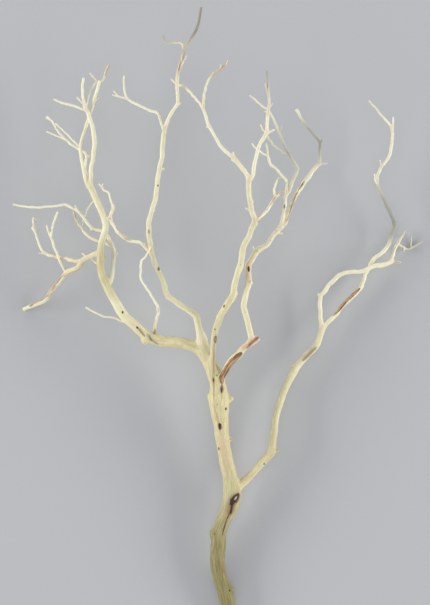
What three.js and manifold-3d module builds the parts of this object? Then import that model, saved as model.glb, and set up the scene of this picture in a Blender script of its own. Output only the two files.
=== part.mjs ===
// A sanded manzanita branch: one crooked limb of hard wood, stripped of its bark and lying on a table.
// The sawn end of the trunk, the tip of the left claw and the outer twig of the right arm carry it, and the
// crown stands clear of the table between them. Each node is one limb between two main forks.
//
// Lengths are in millimetres. Every limb is drawn in plan, seen from straight above: x to the right, y along
// the branch from the sawn end to the crown. The heights of its axis above the table stand beside the plan.

import * as THREE from "three";
import { mergeVertices } from "three/addons/utils/BufferGeometryUtils.js";
import Module from "manifold-3d";

// Driving dimensions
const PLAN_MIDDLE = { x: -11.16, y: 442.77 }; // middle of the branch's box in the plan
const SAWN_END_HEIGHT = 10.91; // height of the trunk's axis at the sawn end
const FORK_GAP = 0.3; // kept between two limbs where they meet
const BLUNT = 0.4; // length of a rounded tip, as a share of the limb's radius
const STRAIGHT = 0.8; // a ring is left out where the limb is straight and even to within this
const STUB_TAPER = 0.8; // diameter of a stub's tip, as a share of its foot
const SIDES_OF_THICK = 10;
const SIDES_OF_LIMB = 7;
const SIDES_OF_TWIG = 6;
const SIDES_OF_STUB = 5;
const THICK_FROM = 17; // smallest diameter of a thick limb
const LIMB_FROM = 7; // smallest diameter of a limb that is no twig
const STUB_UP_TO = 4.6; // largest diameter of a stub or a thin twig

// Colours of the sanded wood and of the bark that is left on it
const WOOD = { color: 0xdcd2ab, roughness: 0.75, metalness: 0 };
const DARKER_WOOD = { color: 0xcdbf93, roughness: 0.78, metalness: 0 };

const wasm = await Module();
wasm.setup();

// Each limb has the limb that carries it (from), the points of its axis in plan with the diameter there
// (path), the heights of its axis at equal steps of the way after its root (rise), and its broken twigs
// (stubs). A stub runs from x, y to x, y, has a diameter at its foot, and ends so much higher than it starts.
const NODES = [
  {
    node: "lower_trunk",
    wood: DARKER_WOOD,
    limbs: [
      {
        name: "trunk foot",
        rootHeight: SAWN_END_HEIGHT,
        end: "flat",
        rise: [17, 25, 33],
        path: [
          [5.8, -9, 22.4], [4.3, 0, 22.4], [-0.5, 22, 22.6], [-7.7, 42, 21.8], [-11.4, 66, 21.6],
          [-10.2, 90, 22.2], [-8.8, 106, 22.8], [-3.8, 121, 22.4], [2.6, 137, 22.8], [8.6, 152, 26],
          [11.2, 165, 27.6], [9, 186, 22.2],
        ],
        stubs: [[2, 22, 12.2, 21.5, 9, 0], [-9, 106, -21, 106.6, 12, 0]],
      },
    ],
  },
  {
    node: "upper_trunk",
    wood: WOOD,
    meets: ["lower_trunk"],
    limbs: [
      {
        name: "trunk",
        from: "trunk foot",
        rise: [39, 46, 53, 58],
        path: [
          [9.8, 178, 23], [5.9, 200, 21.6], [2.1, 216, 21], [-1.6, 232, 20.6], [-3.7, 250, 21],
          [-5.6, 269, 22.6], [-8, 283, 26], [-8.3, 295, 28.6], [-9.2, 306, 29.8], [-9.5, 316, 28.2],
          [-10.4, 327, 24.4], [-13, 338, 22], [-17, 350, 20.6],
        ],
        stubs: [[-4, 303, 11.6, 310.2, 9.4, 2], [-12, 310, -25.4, 313, 9.4, 0], [0, 248, 9.4, 249, 3.2, 1]],
      },
    ],
  },
  {
    node: "middle_limb",
    wood: WOOD,
    meets: ["upper_trunk"],
    limbs: [
      {
        name: "middle",
        from: "trunk",
        rise: [73, 87, 104, 118, 129, 138],
        path: [
          [-13, 316, 8], [-15, 331, 9.4], [-17, 346, 11.6], [-17.8, 362, 10.2], [-17.9, 381, 9],
          [-16.4, 400, 9.4], [-13.2, 416.5, 10.4], [-7.2, 432.2, 10.6], [1, 446.8, 11], [8.4, 458.6, 11.2],
          [12.8, 466.6, 10.6], [13.9, 476, 9.6], [15.9, 487.4, 9.4], [19.5, 499.2, 9.4], [23.4, 511, 9.4],
          [25.5, 522, 9.2], [26.4, 534, 9.6], [30.2, 542.6, 8.8], [35.3, 552, 8.2], [39.6, 562.6, 8.4],
          [43.6, 572.5, 9], [44.4, 579, 8.4], [42.6, 584, 7.8], [39.2, 592, 7], [38.2, 602.6, 7.8],
          [36, 613.5, 7.8], [35.2, 625.5, 8], [35.8, 637.5, 7.9],
        ],
        stubs: [[12, 467, 18.6, 467, 4.5, 0], [43, 572, 49.5, 568.5, 4.5, 0], [38, 603, 41.8, 605.4, 4, 0],
          [36, 593, 30.2, 595, 3, 2]],
      },
    ],
  },
  {
    node: "front_limb",
    wood: DARKER_WOOD,
    meets: ["upper_trunk", "middle_limb"],
    limbs: [
      {
        name: "front",
        from: "trunk",
        rise: [77, 92, 98, 102, 105, 106],
        path: [
          [-7.5, 325, 9], [-5.6, 336, 10], [-3, 346, 9.8], [3.4, 357.2, 10.4], [13.2, 369.2, 10.8],
          [24.8, 381.6, 10.4], [33.8, 389.6, 9.8], [38.8, 398, 9.2], [38, 408, 8.8], [35.3, 420, 8.8],
          [31.4, 434, 9], [28, 449, 8.8], [29.6, 460, 8.8], [32.2, 470, 8.6], [35, 480, 9.2],
          [35.3, 493, 9.4], [35.2, 504, 9.2], [35.9, 512.6, 9.2], [40.4, 519.4, 9], [45.2, 527.2, 9.4],
          [53.5, 534.9, 8.8], [62.4, 540.8, 7.7], [69.8, 549.8, 7.5], [76.4, 558.6, 7.3],
          [83.2, 566.6, 7.5],
        ],
        stubs: [[38, 392, 50.3, 401.2, 9.4, -1], [36, 482, 41.4, 483.6, 4.4, 0], [46, 529, 42, 538, 2.2, 2],
          [78, 558, 86.8, 557.4, 2.8, -1]],
      },
    ],
  },
  {
    node: "front_limb_right_branch",
    wood: WOOD,
    meets: ["front_limb"],
    limbs: [
      {
        name: "front right",
        from: "front",
        rise: [102, 97, 90, 82, 74],
        path: [
          [83.4, 566.8, 6.6], [89.4, 570.6, 6.2], [92.4, 580, 5.8], [95.8, 590.6, 5.6],
          [100.4, 602.8, 5.8], [105.2, 612.4, 5.8], [111, 622.4, 6.1], [116.6, 630.6, 6.6],
          [122.4, 638.2, 6.8], [130.2, 649.6, 6.2], [136.5, 657, 6.4], [141.6, 662, 5.8],
          [142.2, 670.5, 4.3], [142.4, 681, 4], [142.2, 691.5, 4], [137.4, 700.2, 3.6],
          [130.7, 707.8, 3.6], [124.2, 715.6, 3.9], [118.7, 723.6, 3.9], [112.3, 733.8, 3.9],
          [107.6, 742.6, 4.3],
        ],
        stubs: [[142, 661, 154, 662.5, 3, -1], [142, 690, 145.6, 698.4, 2.5, 0], [118.8, 722.4, 113, 723.8, 2.2, 1]],
      },
    ],
  },
  {
    node: "front_limb_left_branch",
    wood: WOOD,
    meets: ["front_limb", "front_limb_right_branch"],
    limbs: [
      {
        name: "front left",
        from: "front",
        rise: [109, 113, 118, 124],
        path: [
          [83.4, 566.8, 6.4], [85.6, 575, 6], [87.6, 584.6, 5.8], [89.2, 596.6, 5.4], [90.4, 607.4, 5.1],
          [92, 616, 5.5], [92.4, 625.4, 4.8], [93.4, 632.8, 4.8], [90.4, 638.2, 4], [82.8, 646.5, 3.7],
          [74.8, 655.2, 3.8], [68.2, 660.8, 4], [65.1, 669.4, 4], [63.5, 676, 3.8], [63.1, 683.5, 2.7],
          [61.8, 691.9, 2.4],
        ],
        stubs: [[90, 608, 85.4, 613, 2, 1]],
      },
      {
        name: "front left twig",
        from: "front left",
        rise: [127, 126],
        path: [[63.6, 674.4, 3], [57.2, 676, 2.7], [51.4, 680.8, 2.6], [44.9, 685.4, 2.6], [40.4, 691.7, 2.3]],
      },
    ],
  },
  {
    node: "front_limb_upper_branch",
    wood: WOOD,
    meets: ["front_limb_left_branch"],
    limbs: [
      {
        name: "front upper",
        from: "front left",
        rise: [119, 125, 131, 134],
        path: [
          [92.2, 615.5, 5], [96.2, 620.8, 4.8], [99.2, 629, 4.7], [100.8, 635.2, 4.9], [103.3, 640.3, 5.1],
          [106.7, 647.3, 5.2], [108.4, 654.2, 5.2], [103.6, 662.4, 4.9], [98.2, 672.7, 4.5],
          [92, 683.2, 3.9], [86.9, 693.9, 3.6], [82, 705.6, 3.5], [77.4, 717.3, 3.3], [72.8, 727.7, 3.1],
          [67.6, 738, 2.9], [62.4, 743.6, 2.8], [55.9, 747.4, 2.7], [49.4, 753, 2.6], [42.9, 758.9, 2.4],
          [36.8, 763.8, 2.2],
        ],
        stubs: [[81.5, 706, 84.9, 718, 2.4, 2]],
      },
      {
        name: "front upper twig",
        from: "front upper",
        rise: [126, 130, 132],
        path: [
          [98, 673.5, 3], [88.4, 676.3, 2.8], [80.6, 683.2, 2.7], [72.8, 688.9, 2.7], [67.6, 696.5, 2.6],
          [63.1, 703.3, 2.5], [55.9, 713.2, 2.4], [53.1, 719.9, 2.2],
        ],
      },
    ],
  },
  {
    node: "middle_limb_left_branch",
    wood: WOOD,
    meets: ["middle_limb"],
    limbs: [
      {
        name: "middle left end",
        from: "middle",
        rise: [136, 129, 120],
        path: [
          [35.8, 637.6, 7.2], [33.8, 643.6, 7], [29, 650.5, 6.8], [22.8, 658.5, 6.5], [16.1, 667, 6.5],
          [8, 674.6, 5.8], [0, 680.4, 5.3], [-7.9, 689.7, 4.6], [-14.4, 701.2, 4.4], [-20.2, 711.6, 4.6],
          [-24.2, 718.8, 5], [-27.6, 728, 4.5], [-30, 736, 4.4], [-33.2, 745, 4.2],
        ],
        stubs: [[14.5, 669.5, 12, 679.6, 2.8, 1], [20, 661, 9, 667.8, 2.6, 1], [-22, 717, -28.8, 716.3, 2.2, 0]],
      },
      {
        name: "middle left upright",
        from: "middle left end",
        rise: [124, 127, 129],
        path: [
          [-32.4, 743.5, 4], [-32.3, 752.7, 3.9], [-31.7, 763.1, 3.8], [-29.7, 773.5, 3.7],
          [-26.5, 783.3, 3.6], [-22.2, 790.4, 3.5], [-17.2, 795.2, 3.3], [-9.4, 801.4, 3],
          [-4.2, 805.6, 2.8], [0.8, 809.4, 2.6], [3, 815.7, 2.3],
        ],
        stubs: [[-22, 791.5, -16.8, 799.2, 2, 1], [-6, 804, -7, 811, 2, 1]],
      },
      {
        name: "middle left outer",
        from: "middle left end",
        rise: [108, 97, 89, 86],
        path: [
          [-33.4, 745, 3.7], [-39, 753.4, 3.6], [-47.7, 763.4, 3.7], [-55.5, 772.5, 3.7],
          [-63, 778.4, 3.5], [-70.5, 780, 3.1], [-75.7, 783.9, 2.8], [-80.9, 788.8, 2.5],
        ],
      },
    ],
  },
  {
    node: "middle_limb_right_branch",
    wood: WOOD,
    meets: ["middle_limb", "middle_limb_left_branch"],
    limbs: [
      {
        name: "middle right end",
        from: "middle",
        rise: [143, 147, 149, 148],
        path: [
          [36, 636.5, 6.6], [39, 639.5, 6.4], [42.1, 646, 6], [43.5, 657.5, 5.5], [45.9, 669.2, 5.3],
          [48.7, 681, 5.2], [52.9, 692.6, 5.3], [59, 701.6, 5.6], [62.4, 708.6, 6], [62.9, 718.6, 4.8],
          [63.5, 730.3, 4.7], [64.6, 740.9, 5.1], [65.9, 750, 4.2], [65.6, 761.5, 3.7], [64.8, 772, 3.3],
          [64.3, 783.6, 2.9], [63.2, 792.7, 2.6], [62.4, 799.9, 2.3],
        ],
        stubs: [[62.5, 706.5, 74.4, 712.6, 3.6, 1], [64, 737, 59, 740.6, 2.2, 1], [66, 746, 71.6, 752.2, 2.8, 0],
          [64, 764, 59.8, 781.8, 2.2, 2]],
      },
    ],
  },
  {
    node: "middle_side_twig",
    wood: WOOD,
    meets: ["middle_limb"],
    limbs: [
      {
        name: "middle side",
        from: "middle",
        rise: [118, 112],
        path: [
          [44, 578, 6], [50, 579.6, 5.4], [55.3, 584.2, 4.9], [62.2, 591.4, 5], [67, 598, 4.9],
          [71.2, 605, 4.4], [76, 612, 4.6],
        ],
      },
      {
        name: "middle side hook",
        from: "middle side",
        rise: [112, 110],
        path: [
          [75.6, 611.4, 3.4], [73.9, 615, 3.2], [73.5, 622, 3], [75.7, 630.3, 2.9], [77.4, 635.6, 2.8],
          [79.2, 638.9, 2.8], [83.2, 641.2, 2.6],
        ],
      },
      {
        name: "middle side outer",
        from: "middle side",
        rise: [107, 104],
        path: [[75.4, 611.4, 3.6], [79.6, 615, 3.6], [84.4, 618.4, 3.2], [89.2, 620.6, 2.8], [93, 621.8, 2.4]],
        stubs: [[80, 614.6, 82.8, 622, 2.2, 0]],
      },
    ],
  },
  {
    node: "left_limb",
    wood: WOOD,
    meets: ["upper_trunk", "middle_limb"],
    limbs: [
      {
        name: "left",
        from: "trunk",
        rise: [59.5, 62, 64, 66, 67, 66, 62.5, 58],
        path: [
          [-15, 345, 17.5], [-18.4, 355.6, 18.8], [-24.6, 367.6, 17.8], [-34.2, 379.4, 16.8],
          [-47, 388, 15.8], [-60, 391.8, 15.6], [-71, 394.2, 15.8], [-84, 394.4, 15.4], [-96, 395.4, 16.8],
          [-107.4, 399.5, 17.2], [-118.6, 405.2, 15.4], [-128.8, 413.2, 14.7], [-138.6, 421.8, 14.7],
          [-149.4, 432.2, 14.6], [-158.2, 444.6, 14.2], [-166.6, 458.6, 13.3], [-174.3, 472.2, 13],
          [-179.7, 483.2, 12.4], [-184, 496, 11.6], [-186.6, 509.4, 12], [-187, 522.4, 11.4],
          [-186.6, 532, 10.6], [-185.3, 542, 9.9], [-182.8, 552.3, 9.4], [-179.8, 562.7, 9.8],
          [-178.9, 571, 10.2], [-181.3, 580, 10], [-185.4, 590, 9.8], [-189.7, 600, 9.6],
          [-194, 610.7, 8.9], [-198.6, 620.5, 9.6], [-202.9, 629.1, 10.2],
        ],
        stubs: [[-114, 402, -123, 394.2, 8.4, 0], [-183, 520, -179.2, 521.8, 5, 1]],
      },
      {
        name: "left low twig",
        from: "left",
        rise: [60, 56, 52],
        path: [
          [-146, 425, 3.4], [-152.2, 424.6, 3.5], [-157.8, 426.7, 3.1], [-164.8, 430.6, 2.9],
          [-171.8, 431.5, 2.8], [-180.3, 432.3, 2.8], [-188.7, 435.7, 2.8], [-199.9, 441.3, 2.7],
          [-209, 446.4, 2.3],
        ],
      },
      {
        name: "left high twig",
        from: "left",
        rise: [57, 49, 46],
        path: [[-186, 508, 2.8], [-191.8, 512, 2.5], [-201.6, 518.3, 2.4], [-214.2, 527, 2.2]],
      },
    ],
  },
  {
    node: "inner_twig",
    wood: WOOD,
    meets: ["left_limb"],
    limbs: [
      {
        name: "inner",
        from: "left",
        rise: [74, 83, 90, 95, 97],
        path: [
          [-106, 401, 6.6], [-105.8, 407.5, 5.2], [-105.4, 415.4, 4.4], [-103.3, 426.6, 3.9],
          [-100.4, 437.6, 4.1], [-100.5, 446.4, 4.4], [-106.8, 457.4, 3.3], [-113.2, 468.4, 3.2],
          [-120.8, 479.4, 3.1], [-126.8, 489.8, 3.1], [-126.4, 501, 3.1], [-125.8, 514.8, 3],
          [-119.6, 522, 2.9], [-115.2, 528.3, 2.8], [-112, 537, 2.3],
        ],
      },
    ],
  },
  {
    node: "claw_limb",
    wood: DARKER_WOOD,
    meets: ["left_limb"],
    limbs: [
      {
        name: "claw",
        from: "left",
        rise: [56, 44, 27, 12, 2.86],
        path: [
          [-186, 528.6, 9], [-191.5, 527.4, 8.8], [-200.9, 523.7, 7.6], [-209, 520.4, 7.2],
          [-215, 515.8, 8.2], [-216.8, 510.8, 8.4], [-221, 506.4, 8.2], [-228.2, 502.7, 7.9],
          [-236.2, 500.3, 8.2], [-241.4, 494.2, 7.2], [-248.1, 485.4, 6.8], [-255.9, 477.4, 6.8],
          [-261.6, 470.8, 6.8], [-265, 462.8, 7], [-273, 455.6, 6.6], [-287, 450, 6.4],
          [-302.7, 443.6, 5.6],
        ],
      },
      {
        name: "claw upper twig",
        from: "claw",
        rise: [46, 38, 30, 24],
        path: [
          [-213, 516.6, 5.4], [-220.4, 515.8, 6.2], [-230.8, 517.2, 5.8], [-241.2, 519.7, 5.5],
          [-252.9, 522.3, 5.1], [-264, 524.4, 4.9], [-270.8, 527.8, 4.6], [-275, 533, 4.1],
          [-279, 541, 3.9], [-282.8, 551, 3.8], [-285.4, 561.4, 3.7], [-287.2, 569, 3.6],
          [-286.9, 574, 4.6], [-286.8, 579.2, 6.4],
        ],
        stubs: [[-271, 527, -280, 528, 2.5, 0], [-286, 563, -291, 567, 2.6, 0]],
      },
      {
        name: "claw middle twig",
        from: "claw",
        rise: [50, 54, 57, 59],
        path: [
          [-238.6, 498, 4.4], [-241.4, 503, 4.1], [-246.4, 512.4, 3.9], [-250.8, 523, 3.8],
          [-254.4, 532.8, 3.8], [-258.2, 541.9, 3.6], [-260.9, 550.8, 3.5], [-260.3, 561.4, 3.3],
          [-258, 571.4, 3.1], [-255, 579.8, 3], [-251.4, 589.4, 2.7],
        ],
      },
      {
        name: "claw middle side twig",
        from: "claw middle twig",
        rise: [52, 50],
        path: [[-260.8, 550, 2.8], [-263.4, 555.6, 2.6], [-266.2, 562.3, 2.5], [-267.9, 569.4, 2.2]],
      },
    ],
  },
  {
    node: "side_limb",
    wood: WOOD,
    meets: ["left_limb"],
    limbs: [
      {
        name: "side",
        from: "left",
        rise: [60, 55],
        path: [
          [-176.8, 478, 7.4], [-172.7, 484.2, 7.9], [-170.3, 492, 6.9], [-168.7, 503, 6.5],
          [-167.7, 514.6, 6.2], [-166.7, 524, 6.4], [-167.2, 532.4, 6], [-170.6, 540.8, 5.8],
        ],
        stubs: [[-166.5, 525, -160.2, 526.5, 2.8, 0]],
      },
      {
        name: "side upper strand",
        from: "side",
        rise: [51.5, 45.5, 38, 30, 22],
        path: [
          [-169.4, 538.6, 5.4], [-172, 545.4, 5.1], [-175.8, 552, 4.9], [-180.2, 557.8, 4.7],
          [-185.4, 561, 4.6], [-192, 562.8, 4.6], [-199.6, 565.4, 4.8], [-205.5, 571.4, 4.4],
          [-211.5, 580.3, 4.2], [-219.7, 589.6, 4.2], [-229.5, 596.2, 4], [-240.6, 600.6, 3.8],
          [-252.9, 598.8, 3.7], [-267.2, 597.6, 3.6], [-281.5, 596.6, 3.5], [-294.5, 597.2, 3.3],
          [-304.9, 598.7, 3.1], [-318.6, 600.9, 2.7],
        ],
        stubs: [[-219.2, 589, -225.6, 600, 2.6, 1], [-199.6, 565, -202, 562, 3, 0]],
      },
      {
        name: "side lower strand",
        from: "side",
        rise: [50.5, 43],
        path: [
          [-170, 538.6, 4.4], [-175.8, 541.2, 4.3], [-180, 543.8, 4.2], [-186, 545, 4.2],
          [-192, 546.2, 4.1], [-200.9, 550, 4], [-208.4, 555.8, 3.8], [-212.8, 562.2, 3.6],
          [-216, 567.2, 3.5], [-219.6, 569.4, 3.4], [-222.4, 574.8, 3.1], [-225.2, 582.6, 2.9],
          [-227.4, 590, 2.7],
        ],
      },
      {
        name: "side thin twig",
        from: "side lower strand",
        rise: [41.5, 41.5, 43, 44],
        path: [
          [-215.2, 566, 2.4], [-213.7, 571, 2.3], [-213.3, 576.2, 2.2], [-210.2, 583.8, 2.2],
          [-207.4, 592.4, 2.2], [-202.4, 600.3, 2.1], [-196.6, 607.4, 2],
        ],
      },
    ],
  },
  {
    node: "left_crown_right_stem",
    wood: WOOD,
    meets: ["left_limb"],
    limbs: [
      {
        name: "crown right",
        from: "left",
        rise: [61, 64, 66.5, 67],
        path: [
          [-202.8, 629.6, 7.6], [-201.9, 636, 7], [-201.8, 640.5, 6.3], [-201.2, 650, 6.1],
          [-200.4, 659.6, 6.2], [-198.3, 670, 6.3], [-196.8, 681, 6.4], [-196, 692, 6.9],
          [-196.8, 707.5, 6.5], [-199.8, 720.5, 6.1], [-203.4, 732.2, 6], [-207.2, 741.2, 5.6],
          [-210.7, 748, 5],
        ],
        stubs: [[-209.6, 748, -222.6, 762, 2.6, 2]],
      },
      {
        name: "crown blunt twig",
        from: "crown right",
        rise: [69, 72],
        path: [[-210.4, 747.4, 4.4], [-212.2, 756, 4], [-213.8, 766, 4], [-213.9, 777, 4], [-212.4, 790.5, 3.7]],
      },
      {
        name: "crown far twig",
        from: "crown right",
        rise: [66, 64],
        path: [
          [-208, 742, 4.2], [-216.3, 744.6, 3.8], [-224.3, 748, 3.6], [-234.7, 750.8, 3.6],
          [-246.2, 753.8, 3.4], [-256.6, 758.6, 2.6],
        ],
      },
      {
        name: "crown crossing twig",
        from: "crown right",
        rise: [65, 62, 60, 60, 60],
        path: [
          [-209, 745, 3.6], [-206.8, 756, 3.1], [-203, 767.2, 2.9], [-199, 776.5, 2.9],
          [-194.2, 783.4, 2.9], [-188.6, 785, 2.8], [-183.6, 787, 2.9], [-180.8, 793.4, 3.1],
          [-178.2, 802.5, 3.2], [-174.3, 809.6, 3],
        ],
        stubs: [[-191.4, 784.6, -203.6, 798.8, 2.4, 2]],
      },
    ],
  },
  {
    node: "left_crown_left_stem",
    wood: WOOD,
    meets: ["left_limb", "left_crown_right_stem"],
    limbs: [
      {
        name: "crown left",
        from: "left",
        rise: [59, 58, 58, 63, 69],
        path: [
          [-204.4, 628.6, 7], [-208.3, 636, 6.4], [-210.6, 644.7, 5.7], [-212.4, 653, 5.2],
          [-214.2, 663.3, 4.8], [-216, 672.4, 4.7], [-217, 681.5, 5], [-216.9, 690, 5.2],
          [-214.4, 700, 4.9], [-210.7, 711.4, 4.8], [-207.4, 721.8, 4.8], [-204.5, 731, 4.7],
          [-202.6, 738, 4.8], [-199.7, 746.5, 5], [-197.2, 755.8, 5], [-194.3, 765, 4.9],
          [-191.2, 775.2, 4.7], [-187.8, 785.6, 4.6],
        ],
        stubs: [[-197, 755, -189.6, 761.3, 2.4, 0]],
      },
      {
        name: "crown left side twig",
        from: "crown left",
        rise: [57.5, 56.5],
        path: [[-216, 685.6, 3], [-228.2, 696.8, 2.8], [-237, 706.2, 2.7], [-246.4, 715, 2.6], [-254.2, 722.4, 2.3]],
      },
    ],
  },
  {
    node: "left_crown_rear_stem",
    wood: WOOD,
    meets: ["left_limb", "left_crown_right_stem", "left_crown_left_stem"],
    limbs: [
      {
        name: "crown rear",
        from: "left",
        rise: [50, 46, 43, 40],
        path: [
          [-204, 627, 5], [-207.4, 638, 4.4], [-209.4, 650.3, 4], [-209.4, 664.4, 3.9],
          [-207.2, 672.8, 4.7], [-210.8, 679, 3.7], [-217.2, 682.4, 3.5], [-223, 685.6, 3.5],
          [-230.8, 691.3, 3.5], [-239.9, 699.1, 3.4],
        ],
        stubs: [[-208, 673.6, -202.6, 673.6, 3, 0]],
      },
      {
        name: "crown rear low twig",
        from: "crown rear",
        rise: [37, 34],
        path: [[-238.4, 698, 2.8], [-249, 702.3, 2.4], [-259.4, 706.9, 2.3], [-267.9, 710.4, 2.1]],
      },
      {
        name: "crown rear high twig",
        from: "crown rear",
        rise: [37, 32, 28],
        path: [
          [-239, 698.4, 3.2], [-245.3, 704.3, 3], [-250.5, 710.3, 2.9], [-255.9, 719.3, 2.8],
          [-259.5, 725.8, 2.8], [-267.4, 732.3, 4.8],
        ],
      },
    ],
  },
  {
    node: "rear_limb",
    wood: WOOD,
    meets: ["left_limb", "middle_limb"],
    limbs: [
      {
        name: "rear",
        from: "left",
        rise: [64, 72, 80, 86],
        path: [
          [-25, 364, 17], [-30.4, 380, 19], [-34.4, 396, 16.6], [-37.4, 407, 12.4], [-40.4, 420, 9.9],
          [-43.3, 433.2, 10.2], [-53.6, 441.2, 8.8], [-64.8, 448.2, 8.6], [-74.6, 455.2, 8.5],
          [-84.2, 462.2, 8.7], [-88.7, 470.3, 8.5], [-91.1, 479.6, 8.3], [-94.5, 489.7, 8],
          [-98.8, 499.6, 7.8], [-104.6, 510.6, 7.4], [-108.3, 521.6, 7.2], [-110.8, 532, 7.4],
        ],
      },
    ],
  },
  {
    node: "rear_limb_upper",
    wood: WOOD,
    meets: ["rear_limb"],
    limbs: [
      {
        name: "rear upper",
        from: "rear",
        rise: [88, 87, 85, 84],
        path: [
          [-109.6, 526, 6], [-112.2, 542, 7.9], [-114.2, 557, 7.7], [-114.2, 571.2, 7.5],
          [-112.6, 581, 7.3], [-109.9, 590.9, 7.3], [-107.2, 600, 7.1], [-104.2, 610.4, 7],
          [-102.9, 619.5, 7.1], [-102, 630, 7.1], [-100.3, 642.4, 7], [-98.8, 652, 6.9],
          [-96.4, 662.4, 6.7], [-94.2, 673, 7], [-93.8, 684.5, 7], [-93.1, 695, 7], [-91.9, 705.3, 7],
          [-90.5, 715.7, 6.6],
        ],
        stubs: [[-110, 590, -104.4, 592, 2, 1], [-97, 652, -90.4, 655, 3.2, 1]],
      },
    ],
  },
  {
    node: "rear_limb_left_branch",
    wood: WOOD,
    meets: ["rear_limb_upper"],
    limbs: [
      {
        name: "rear left end",
        from: "rear upper",
        rise: [80, 71, 63, 58],
        path: [
          [-92.3, 713.6, 5], [-95.9, 725, 4.4], [-98.6, 733, 4.3], [-102.2, 738.8, 4.4],
          [-109.8, 740.8, 3.9], [-119.9, 745, 3.8], [-130.3, 750.4, 3.8], [-139.4, 754.5, 3.7],
          [-146.6, 759.5, 3.6], [-149.7, 767.3, 2.9], [-151.8, 777.4, 2.8], [-152.1, 786.5, 2.7],
          [-151.4, 793.6, 2.6],
        ],
      },
      {
        name: "rear left tip",
        from: "rear left end",
        rise: [63, 62],
        path: [[-146.2, 759.4, 3.2], [-155, 761.8, 2.9], [-161.5, 763.4, 2.5], [-168.7, 765.4, 2.1]],
        stubs: [[-158.6, 762.8, -168, 771.4, 2.2, 1]],
      },
    ],
  },
  {
    node: "rear_limb_right_branch",
    wood: DARKER_WOOD,
    meets: ["rear_limb_upper", "rear_limb_left_branch"],
    limbs: [
      {
        name: "rear right end",
        from: "rear upper",
        rise: [94, 102, 108, 112],
        path: [
          [-90.2, 715, 5.4], [-85.1, 729, 5.1], [-80.7, 737.2, 5], [-75.4, 745.5, 5.2], [-71, 751.4, 5.3],
          [-70.9, 759, 5], [-71.4, 768.3, 5], [-71.8, 779.4, 5.2], [-71.8, 788, 5.4], [-71.1, 796.9, 5.4],
          [-68.4, 805, 5.4], [-65.6, 813.8, 5], [-63.7, 822.9, 4.9], [-63, 831, 4.5], [-59.4, 838, 4],
          [-53.6, 846.3, 4.1], [-47.1, 855, 4.3], [-42.8, 862.9, 4.6], [-39.5, 873, 3.9],
          [-37.6, 884, 3.8], [-35.4, 895.7, 3.5],
        ],
        stubs: [[-70, 799, -57, 824.4, 2.2, 8], [-71.4, 752, -66.2, 751.4, 3, 0]],
      },
      {
        name: "rear right curl",
        from: "rear right end",
        rise: [104, 100, 97],
        path: [
          [-61.8, 833.8, 3.8], [-63.6, 840, 3.4], [-68.5, 843.4, 3.1], [-76.4, 842.8, 2.9],
          [-84.8, 842.5, 2.8], [-90.4, 846, 2.6], [-92.8, 854.1, 2.3],
        ],
      },
    ],
  },
  {
    node: "bronze_side_branch",
    wood: DARKER_WOOD,
    meets: ["rear_limb", "rear_limb_upper"],
    limbs: [
      {
        name: "bronze",
        from: "rear",
        rise: [84, 80, 77, 72],
        path: [
          [-110.8, 528, 5.6], [-116, 533.2, 5.1], [-121.6, 538.8, 4.9], [-128.5, 544.2, 4.8],
          [-136.8, 545, 4.9], [-143.1, 546.1, 4.8], [-150.3, 550.2, 4.8], [-156.9, 554.8, 4.7],
          [-162.1, 560.4, 4.6], [-166.3, 568, 4.6], [-170.6, 574.6, 4.9], [-172.4, 580.4, 5.4],
          [-170.4, 588, 4.9], [-167.8, 594.6, 4.7], [-169, 600, 3.6], [-172.3, 609.2, 2.9],
          [-174.3, 618.2, 2.9], [-177.4, 620.4, 2.9], [-181.6, 621.6, 2.8], [-184.4, 626.8, 2.6],
          [-189.2, 631.6, 2.3],
        ],
        stubs: [[-121, 538, -119.6, 543.6, 2.4, 1], [-172, 579.6, -177.8, 579.4, 4.2, 0],
          [-168, 594, -167, 601, 3, 1], [-185, 627, -183.2, 632.2, 2, 1]],
      },
    ],
  },
  {
    node: "right_limb",
    wood: WOOD,
    meets: ["lower_trunk", "upper_trunk"],
    limbs: [
      {
        name: "right",
        from: "trunk foot",
        rise: [31, 29, 27, 25, 23, 22],
        path: [
          [13, 171, 15], [22, 179.6, 14], [33.6, 188.9, 12.2], [43.2, 199.8, 11.4], [58.2, 215.8, 11.5],
          [69.6, 228.2, 12], [71.3, 238, 11.3], [72, 250, 11], [75.4, 271.9, 10.3], [79.8, 294.6, 10.4],
          [85.8, 312.6, 10.5], [93.9, 331.4, 10.7], [101.1, 345.6, 11.6], [109.2, 359.2, 11.2],
          [121.2, 372.4, 10.2], [131.8, 383, 10.2], [138.2, 391.3, 10], [142.1, 401.2, 8.9],
          [146, 412, 8.9], [147.6, 418, 8.6],
        ],
        stubs: [[70, 231, 79.8, 232.4, 6, 0], [105, 351, 101.6, 359.6, 5, 0]],
      },
    ],
  },
  {
    node: "right_outer_arm",
    wood: WOOD,
    meets: ["right_limb"],
    limbs: [
      {
        name: "outer arm",
        from: "right",
        rise: [25, 29, 27, 14, 6],
        path: [
          [145.4, 413, 7], [144, 428, 6.2], [143.4, 441, 6.1], [142.8, 453, 6.1], [144, 464.2, 6.1],
          [150.1, 470.4, 6.1], [155.1, 478.2, 6.2], [162.3, 486.3, 6.4], [170.7, 493.5, 6.3],
          [180.3, 498.7, 6.1], [191.1, 499.9, 6.1], [201.4, 499.7, 6.1], [210.3, 502.6, 6.3],
          [218.7, 506, 6], [227.1, 509.6, 6.8], [235.5, 509.7, 6.9], [243, 511.5, 6.8], [249.4, 515.1, 6.5],
          [251.4, 521.3, 5], [253.8, 529.7, 5], [257.4, 538.6, 4.8], [261.9, 546.1, 4.3],
          [267, 553.3, 3.4], [270.8, 561.8, 2.3],
        ],
        stubs: [[249, 515.4, 265.3, 513.4, 4, -2], [143, 463, 139.4, 467.4, 3.6, 0]],
      },
      {
        name: "outer arm twig",
        from: "outer arm",
        rise: [4.5, 1.68, 2.7, 3.4],
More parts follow.
